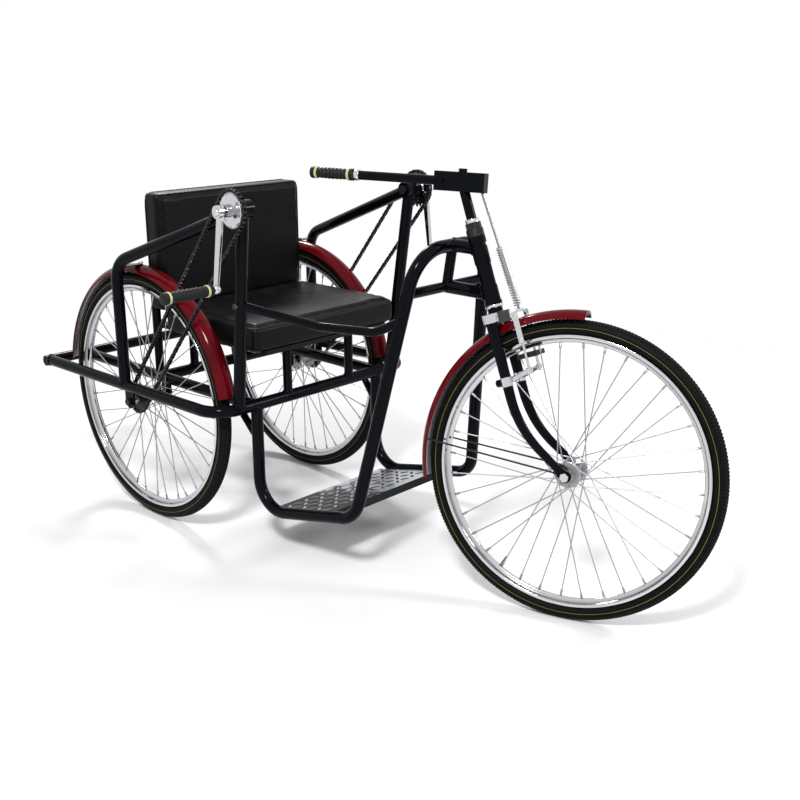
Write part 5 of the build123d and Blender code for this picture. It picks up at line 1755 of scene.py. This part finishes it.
@dataclass
class FrameTrim:
    """Welds round the tube joints, and the bolt at the front of the guard bar."""

    bead: float = 0.0026
    bead_steps: int = 72
    bead_waves: int = 24
    bead_swell: float = 0.12
    tube: float = 0.016
    thin: float = 0.0125
    shell: float = 0.022
    lug: float = 0.021
    strut_y: float = 0.115
    leg_y: float = 0.226
    post_y: float = 0.284
    post_head_y: float = 0.299
    bar: float = 0.011
    bolt: Pair = (0.009, 0.007)

    def build(self) -> None:
        """Make the welds and the bolts."""
        self.build_welds()
        self.build_bolts()

    def weld(self, point: Array, mother: Array, branch: Array, outer: float, inner: float) -> Surface:
        """Rippled bead along the line where a branch tube meets its mother tube.

        On the branch, at angle a, q = r (cos a U + sin a V). The line lies at the height t along
        the branch where the part of q + t b across the mother's axis is as long as her radius.

        Args:
            point: Where the two axes meet.
            mother: Direction of the mother's axis.
            branch: Direction of the branch, away from the mother.
            outer: The mother's radius.
            inner: The branch's radius.

        Returns:
            The bead.
        """
        branch = unit(np.array(branch, float))
        mother = unit(np.array(mother, float))
        across = unit(np.cross(branch, mother))
        over = np.cross(branch, across)
        angle = full_turn(self.bead_steps)
        ring = inner * (np.cos(angle)[:, None] * across + np.sin(angle)[:, None] * over)
        ring_off = ring - (ring @ mother)[:, None] * mother
        branch_off = branch - (branch @ mother) * mother
        a = branch_off @ branch_off
        b = ring_off @ branch_off
        c = np.einsum("ij,ij->i", ring_off, ring_off) - outer**2
        height = (-b + np.sqrt(np.maximum(b * b - a * c, 0.0))) / a
        path = point + ring + height[:, None] * branch
        width = self.bead * (1.0 + self.bead_swell * np.cos(angle * self.bead_waves))
        return outward(carried(path, width, 8, True, branch))

    def joints(self) -> list[tuple[Sequence[float], Array, Array, float, float]]:
        """List the frame's tube joints.

        Returns:
            Where each pair of axes meets, both directions and both radii.
        """
        high = corners("outer_rails")[1]
        level = middle_of("outer_rails")[2]
        front = high[0] - self.tube
        rail_y = high[1] - self.tube
        rear = middle_of("rear_bar")[0]
        inner_y = corners("inner_rails")[1][1] - self.tube
        middle = middle_of("mid_cross_tube")[0]
        post = corners("wheel_posts")[0][0] + self.tube
        back = middle_of("backrest_posts")[0]
        crank = crank_centre(Side.LEFT)
        found = []
        for side in Side:
            sign = side.value
            head = np.array([crank[0], sign * self.post_head_y, crank[2]])
            foot = np.array([front, sign * self.post_y, level])
            found += [
                ((rear, sign * inner_y, level), LEFT, FORWARD, self.tube, self.tube),
                ((rear, sign * rail_y, level), LEFT, FORWARD, self.tube, self.tube),
                ((front, sign * inner_y, level), LEFT, -FORWARD, self.tube, self.tube),
                ((middle, sign * inner_y, level), FORWARD, -sign * LEFT, self.tube, self.tube),
                ((post, sign * rail_y, level), FORWARD, UP, self.tube, self.tube),
                ((front, sign * self.post_y, level), LEFT, head - foot, self.tube, self.tube),
                ((front, sign * self.leg_y, level), LEFT, -UP, self.tube, self.tube),
                ((front, sign * self.strut_y, level), LEFT, UP, self.tube, self.thin),
                ((middle, sign * self.strut_y, level), LEFT, UP, self.tube, self.thin),
                ((back, sign * inner_y, level), FORWARD, UP, self.tube, self.thin),
                (head, LEFT, foot - head, self.shell, self.tube),
            ]
        hoop_high = corners("foot_hoop")[1]
        hoop = (hoop_high[0] - self.tube, 0.0, hoop_high[2] - self.tube)
        found.append((hoop, LEFT, FORWARD, self.tube, self.tube))
        for level in (hoop[2], corners("hoop_cross_tube")[1][2] - self.thin):
            at = STEER.origin + STEER.z * (level / STEER.z[2])
            found.append((at, STEER.z, -FORWARD, self.lug, self.tube))
        return found

    def build_welds(self) -> None:
        """One piece of all the weld beads."""
        beads = [self.weld(np.array(at, float), *rest) for at, *rest in self.joints()]
        make_piece("frame_welds", joined(beads), BLACK, "frame", crease=80.0)

    def build_bolts(self) -> None:
        """Bolt through the crank post at the front end of the guard bar."""
        crank = crank_centre(Side.RIGHT)
        front = corners("outer_rails")[1][0] - self.tube
        level = middle_of("outer_rails")[2]
        height = corners("guard_bar")[1][2] - self.bar
        share = (height - level) / (crank[2] - level)
        x = front + share * (crank[0] - front)
        y = -self.post_y - share * (self.post_head_y - self.post_y)
        head = facing(np.array([x, y, height]) - LEFT * (self.tube - 0.0005), -LEFT)
        bolt = hexagon(*self.bolt).placed(head)
        make_piece("guard_bar_bolt", bolt, STEEL, "frame")


@dataclass
class CrankTrim:
    """Domed nut and cotter pin at each crank's hub, and the bright disc on its chainwheel."""

    nut: Pair = (0.0105, 0.007)
    hub_radius: float = 0.016
    hub_in: float = 0.013
    pin_radius: float = 0.0034
    pin_length: float = 0.040
    pin_past: float = 0.004
    pin_x: float = 0.0095
    pin_nut: Pair = (0.0062, 0.005)
    disc_radius: float = 0.0405
    disc_steps: int = 64
    tooth: float = 0.003

    def build(self) -> None:
        """Make both cranks' fittings."""
        long = self.pin_length
        profile = np.array([
            (0.0, 0.0), (self.pin_radius, 0.0004), (self.pin_radius, long - 0.0005), (0.0, long),
        ])
        rod = outward(turned(profile, 14, False))
        for side in Side:
            node = f"crank_spindle_{side.word}"
            x, _, z = middle_of(node)
            end = corners(node)[1 if side is Side.LEFT else 0][1]
            low = z - self.hub_radius - self.pin_past
            pin = facing(np.array([x + self.pin_x, end - side.value * self.hub_in, low]), UP)
            shapes = [
                outward(dome(*self.nut)).placed(facing(np.array([x, end, z]), LEFT * side.value)),
                rod.placed(pin),
                outward(hexagon(*self.pin_nut)).placed(pin.moved(y=-0.001)),
                self.disc(side),
            ]
            name = f"crank_fittings_{side.word}"
            make_piece(name, joined(shapes), CHROME, f"crank_{side.word}")

    def disc(self, side: Side) -> Surface:
        """Dished disc with a raised edge on the chainwheel's outer face.

        Args:
            side: The crank's side.

        Returns:
            The disc, in the row frame.
        """
        out = LEFT * side.value
        face = crank_centre(side) + out * self.tooth / 2
        bore = self.hub_radius - 0.001
        reach = self.disc_radius
        profile = np.array([
            (bore, 0.0), (bore, 0.0040), (0.0200, 0.0032), (0.0240, 0.0018), (reach - 0.0065, 0.0016),
            (reach - 0.0045, 0.0030), (reach - 0.0015, 0.0030), (reach, 0.0018), (reach, 0.0),
        ])
        return outward(turned(profile, self.disc_steps)).placed(facing(face, out))


@dataclass
class Footplate:
    """Raised bars of the chequered footplate, and the rivets along its sides."""

    pitch: float = 0.030
    bar_length: float = 0.028
    bar_width: float = 0.0095
    bar_height: float = 0.0016
    bar_sink: float = 0.0006
    bar_tilt: float = 45.0
    bar_grid: tuple[int, int] = (9, 5)
    rivets: int = 4
    rivet: Pair = (0.0052, 0.0026)
    rivet_out: float = 0.004
    margin: float = 0.012
    lip: float = 0.004

    def build(self) -> None:
        """Set the bars out on a square grid and the rivets along both sides."""
        mounts = frame["record"]["mounts"]
        mount = next(entry for entry in mounts if entry["name"] == "footplate_top")
        z = unit(np.array(mount["axis"], float))
        top = Place(np.array(mount["pos_m"], float), np.cross(LEFT, z), LEFT, z)
        low, high = corners("foot_platform")
        half_y = (high[1] - low[1]) / 2 - self.margin
        half_x = (high[0] - low[0]) / 2 / top.x[0] - self.margin - self.lip
        rows = int(2 * half_x / self.pitch)
        lines = int(2 * half_y / self.pitch)
        spots = []
        for row in range(rows):
            for line in range(lines):
                x = (row + 0.5) * self.pitch - rows * self.pitch / 2
                y = (line + 0.5) * self.pitch - lines * self.pitch / 2
                tilt = math.radians(self.bar_tilt if (row + line) % 2 else -self.bar_tilt)
                axis = math.cos(tilt) * top.x + math.sin(tilt) * top.y
                spots.append(Place(top.points(np.array([x, y, 0.0])), axis, np.cross(top.z, axis), top.z))
        make_piece("footplate_bars", copies(self.bar(), spots), BARS, "frame")
        heads = [
            top.moved(x, side.value * (half_y + self.rivet_out)).tipped()
            for side in Side
            for x in np.linspace(-half_x, half_x, self.rivets)
        ]
        rivets = copies(outward(dome(*self.rivet)), heads)
        make_piece("footplate_rivets", rivets, SATIN, "frame")

    def bar(self) -> Surface:
        """One raised bar, a shallow dome that narrows to both ends.

        At shares u along and v across it is half the width v sqrt(1 - u^2) aside, and rises by the
        height (1 - u^2)^0.35 (1 - v^2)^0.6.

        Returns:
            The bar, in its own frame.
        """
        long, wide = (np.linspace(-1, 1, steps) for steps in self.bar_grid)
        u, v = np.meshgrid(long, wide, indexing="ij")
        width = np.sqrt(np.clip(1 - u**2, 0.0, 1.0))
        rise = np.clip(1 - u**2, 0.0, 1.0) ** 0.35 * np.clip(1 - v**2, 0.0, 1.0) ** 0.6
        half = np.array([self.bar_length / 2, self.bar_width / 2, self.bar_height])
        crest = np.stack([u, v * width, rise], axis=-1) * half
        base = crest * [1.0, 1.0, 0.0] - [0.0, 0.0, self.bar_sink]
        points = np.concatenate([crest.reshape(-1, 3), base.reshape(-1, 3)])
        quads = lattice(*self.bar_grid, False, False)
        return Surface(points, np.concatenate([quads, quads[:, ::-1] + u.size]))


@dataclass
class Cushion:
    """A vinyl cushion over a plain solid, swelled by a short cloth simulation and piped at its edges."""

    name: str
    node: str
    across: int
    inset: float = 0.0008
    merge_reach: float = 1e-5
    voxel: float = 0.005
    pressure: float = 5.0
    cap: float = 0.008
    frames: int = 20
    piping: float = 0.0026
    piping_sides: int = 8
    stations: int = 400
    corner_steps: int = 65
    evened: int = 4
    edge: float = 0.012

    def build(self) -> bpy.types.Object:
        """Copy the solid, swell it, smooth it and set it in place.

        Returns:
            The cushion.
        """
        source = frame["nodes"][self.node]
        mesh = source.data.copy()
        mesh.name = self.name
        piece = bpy.data.objects.new(self.name, mesh)
        bpy.context.scene.collection.objects.link(piece)
        merge(mesh, self.merge_reach)
        low, high = corners(self.node)
        middle = middle_of(self.node)
        points = mesh_points(mesh)
        shrink = 1 - 2 * self.inset / (high - low)
        self.write(mesh, middle + (points - middle) * shrink)
        self.finish_shape(piece)
        mesh = piece.data
        mesh.materials.clear()
        mesh.materials.append(VINYL.material())
        mesh.shade_smooth()
        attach(piece, "frame")
        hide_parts(self.node)
        LOG.info("%s: %d faces", self.name, len(mesh.polygons))
        self.build_piping(mesh)
        return piece

    def build_piping(self, mesh: bpy.types.Mesh) -> None:
        """Piping along the edges of both broad faces, laid on the finished cover.

        The path is a rectangle with round corners, sign(cos a) (half - r) + r cos a on each axis
        with many stations between, drawn to the cover's nearest points and then evened out.

        Args:
            mesh: The finished cover.
        """
        low, high = corners(self.node)
        flat = [axis for axis in range(3) if axis != self.across]
        half = (high - low)[flat] / 2
        tuck = self.edge * (1 - math.sqrt(0.5))
        turn = compass(np.linspace(0.0, TURN, self.corner_steps))
        knots = np.sign(turn.round(6)) * (half - self.edge) + (self.edge - tuck) * turn
        reach = np.concatenate([[0.0], np.cumsum(np.linalg.norm(np.diff(knots, axis=0), axis=1))])
        stations = np.arange(self.stations) * reach[-1] / self.stations
        loop = np.stack([np.interp(stations, reach, knots[:, axis]) for axis in range(2)], axis=-1)
        middle = middle_of(self.node)
        reference = np.eye(3)[self.across]
        cover = mesh_points(mesh)
        cords = []
        for level in (low[self.across] + tuck, high[self.across] - tuck):
            path = np.empty((len(loop), 3))
            path[:, flat] = loop + middle[flat]
            path[:, self.across] = level
            away = np.linalg.norm(path[:, None] - cover[None], axis=-1)
            path = cover[away.argmin(axis=1)]
            rolls = [np.roll(path, step, axis=0) for step in range(-self.evened, self.evened + 1)]
            cord = carried(np.mean(rolls, axis=0), self.piping, self.piping_sides, True, reference)
            cords.append(outward(cord))
        make_piece(f"{self.name}_piping", joined(cords), VINYL, "frame")

    @staticmethod
    def write(mesh: bpy.types.Mesh, points: Array) -> None:
        """Set a mesh's points."""
        mesh.vertices.foreach_set("co", points.astype(np.float32).ravel())
        mesh.update()

    def finish_shape(self, piece: bpy.types.Object) -> None:
        """Remesh the copy, run the cloth and keep what moves outwards, within the cap.

        Args:
            piece: The cushion's object.
        """
        remesh = piece.modifiers.new("voxels", "REMESH")
        remesh.mode = "VOXEL"
        remesh.voxel_size = self.voxel
        self.apply(piece)
        start = mesh_points(piece.data)
        normals = np.empty(len(start) * 3, np.float32)
        piece.data.vertex_normals.foreach_get("vector", normals)
        normals = normals.reshape(-1, 3)
        cloth = piece.modifiers.new("swell", "CLOTH")
        cloth.settings.use_pressure = True
        cloth.settings.uniform_pressure_force = self.pressure
        cloth.settings.effector_weights.gravity = 0.0
        scene = bpy.context.scene
        for step in range(1, self.frames + 1):
            scene.frame_set(step)
        self.apply(piece)
        scene.frame_set(1)
        move = mesh_points(piece.data) - start
        push = np.clip(np.einsum("ij,ij->i", move, normals), 0.0, self.cap)
        self.write(piece.data, start + push[:, None] * normals)

    @staticmethod
    def apply(piece: bpy.types.Object) -> None:
        """Turn the modifiers' result into the piece's own mesh.

        Args:
            piece: The cushion's object.
        """
        graph = bpy.context.evaluated_depsgraph_get()
        mesh = bpy.data.meshes.new_from_object(piece.evaluated_get(graph))
        piece.modifiers.clear()
        old = piece.data
        piece.data = mesh
        bpy.data.meshes.remove(old)


@dataclass
class Studio:
    """Pale floor, soft lamps and the camera at the photograph's angle."""

    camera_at: tuple[float, float, float] = (1.98763, -1.9810, 1.2629)
    azimuth: float = -46.98
    elevation: float = 17.14
    roll: float = -0.07
    lens: float = 49.06
    sensor: float = 36.0
    floor_half: float = 14.0
    floor_drop: float = 0.0004
    paper: Colour = (0.93, 0.93, 0.94)
    paper_rough: float = 0.9
    pale: Pair = (1.0, 3.2)
    white: Colour = (1.0, 1.0, 1.0)
    soft_light: float = 0.5
    aim: float = 0.45

    def build(self) -> None:
        """Set the floor, light and camera."""
        bpy.context.scene.view_settings.view_transform = "Standard"
        self.build_floor()
        self.build_world()
        self.build_lamp("key_lamp", (1.6, -2.6, 3.4), 135.0, 0.6)
        self.build_lamp("fill_lamp", (2.8, 2.2, 2.4), 50.0, 0.7)
        self.build_lamp("back_lamp", (-2.6, 1.4, 3.0), 65.0, 0.6)
        self.build_camera()

    @staticmethod
    def seen(bench: Bench) -> Socket:
        """Tell what the camera sees from other light.

        Args:
            bench: Bench of the floor's material or the world.

        Returns:
            One where the camera looks straight, in bright metal or through glass, and none elsewhere.
        """
        path = bench.add("ShaderNodeLightPath")
        straight = bench.maths("MAXIMUM", path.outputs["Is Camera Ray"], path.outputs["Is Glossy Ray"])
        return bench.maths("MAXIMUM", straight, path.outputs["Is Transmission Ray"])

    @staticmethod
    def stand(thing: bpy.types.Object, at: Sequence[float], right: Array, back: Array) -> None:
        """Set a lamp or the camera in its place.

        Args:
            thing: The lamp or camera, which looks away from its back.
            at: Its place.
            right: Direction of its right hand side.
            back: Direction of its back.
        """
        basis = np.stack([right, np.cross(back, right), back], axis=1)
        thing.matrix_world = Matrix.Translation(at) @ Matrix(basis.tolist()).to_4x4()
        bpy.context.scene.collection.objects.link(thing)

    def build_floor(self) -> None:
        """A wide floor that pales to plain white away from the tricycle."""
        half = self.floor_half
        drop = -self.floor_drop
        points = [(-half, -half, drop), (half, -half, drop), (half, half, drop), (-half, half, drop)]
        mesh = bpy.data.meshes.new("studio_floor")
        mesh.from_pydata(points, [], [(0, 1, 2, 3)])
        floor = bpy.data.objects.new("studio_floor", mesh)
        bpy.context.scene.collection.objects.link(floor)
        made = bpy.data.materials.new("studio paper")
        made.use_nodes = True
        bench = Coating(made.node_tree)
        bench.coat(rgba(self.paper), self.paper_rough, 0.0)
        glow = bench.add("ShaderNodeEmission", None, Color=rgba(self.white), Strength=1.0)
        length = bench.add("ShaderNodeVectorMath", {"operation": "LENGTH"}, Vector=bench.place())
        away = bench.spread(length.outputs["Value"], *self.pale)
        share = bench.maths("MULTIPLY", away, self.seen(bench))
        mix = bench.add("ShaderNodeMixShader", None, Fac=share)
        bench.feed(mix.inputs[1], bench.shader.outputs["BSDF"])
        bench.feed(mix.inputs[2], glow.outputs["Emission"])
        output = made.node_tree.nodes["Material Output"]
        bench.feed(output.inputs["Surface"], mix.outputs["Shader"])
        mesh.materials.append(made)

    def build_world(self) -> None:
        """White where the camera and bright metal look past the floor, softer for other light."""
        world = bpy.data.worlds.new("studio")
        bpy.context.scene.world = world
        world.use_nodes = True
        bench = Bench(world.node_tree)
        soft = self.soft_light
        strength = bench.maths("MULTIPLY_ADD", self.seen(bench), 1.0 - soft, soft)
        background = world.node_tree.nodes["Background"]
        background.inputs["Color"].default_value = rgba(self.white)
        bench.feed(background.inputs["Strength"], strength)

    def build_lamp(self, name: str, at: tuple[float, float, float], power: float, size: float) -> None:
        """A square soft lamp that looks at the tricycle's middle.

        Args:
            name: The lamp's name.
            at: Its place.
            power: Its power in watts.
            size: Its width in metres.
        """
        data = bpy.data.lights.new(name, "AREA")
        data.energy = power
        data.size = size
        lamp = bpy.data.objects.new(name, data)
        back = unit(np.array(at) - UP * self.aim)
        self.stand(lamp, at, unit(np.cross(UP, back)), back)

    def build_camera(self) -> None:
        """The camera, turned by its azimuth, elevation and roll."""
        azimuth, elevation, roll = np.radians([self.azimuth, self.elevation, self.roll])
        level = math.cos(elevation)
        back = np.array([level * math.cos(azimuth), level * math.sin(azimuth), math.sin(elevation)])
        right = np.array([-math.sin(azimuth), math.cos(azimuth), 0.0])
        tilted = math.cos(roll) * right + math.sin(roll) * np.cross(back, right)
        data = bpy.data.cameras.new("camera")
        data.lens = self.lens
        data.sensor_width = self.sensor
        camera = bpy.data.objects.new("camera", data)
        self.stand(camera, self.camera_at, tilted, back)
        bpy.context.scene.camera = camera


FRONT_FLANGE = 0.030
FRONT_HUB_END = 0.038
REAR_FLANGES = (0.030, 0.022)


def wheels() -> list[SpokedWheel]:
    """Set out the three wheels.

    Returns:
        The wheels, each in its own frame.
    """
    flanges = (-FRONT_FLANGE, FRONT_FLANGE)
    ends = (-FRONT_HUB_END, FRONT_HUB_END)
    found = [SpokedWheel("front", "front_wheel", FRONT, flanges, ends)]
    for side in Side:
        spin = f"rear_wheel_{side.word}_spin"
        place = upright(joint_centre(spin), joint_axis(spin))
        low, high = corners(f"hub_rear_{side.word}")
        flanges = (-side.value * REAR_FLANGES[0], side.value * REAR_FLANGES[1])
        ends = (low[1] - place.origin[1], high[1] - place.origin[1])
        found.append(SpokedWheel(f"rear_{side.word}", f"rear_wheel_{side.word}", place, flanges, ends))
    return found


def grips() -> list[HandGrip]:
    """Set out the two crank grips.

    Returns:
        The grips, each along its pin.
    """
    found = []
    for side in Side:
        node = f"crank_grip_{side.word}"
        low, high = corners(node)
        start = middle_of(node)
        start[1] = low[1] if side is Side.LEFT else high[1]
        place = Place(start, FORWARD * side.value, LEFT * side.value, UP)
        length = high[1] - low[1]
        found.append(HandGrip(node, f"crank_{side.word}", place, length, (high[2] - low[2]) / 2, node))
    return found


def main() -> None:
    """Build the tricycle's looks in order and report each piece."""
    logging.basicConfig(level=logging.INFO, format="%(name)s %(message)s")
    FramePaint().build()
    for wheel in wheels():
        wheel.build()
    chain = joined([ChainDrive(side).links() for side in Side])
    make_piece("chain_links", chain, STEEL, "frame", ("chains",))
    Guards().build()
    SteeringTrim().build()
    FrameTrim().build()
    CrankTrim().build()
    for grip in grips():
        grip.build()
    Footplate().build()
    Cushion("seat_pad", "seat_cushion", across=2).build()
    Cushion("backrest_pad", "backrest_cushion", across=0).build()
    Studio().build()


if __name__ == "__main__":
    main()
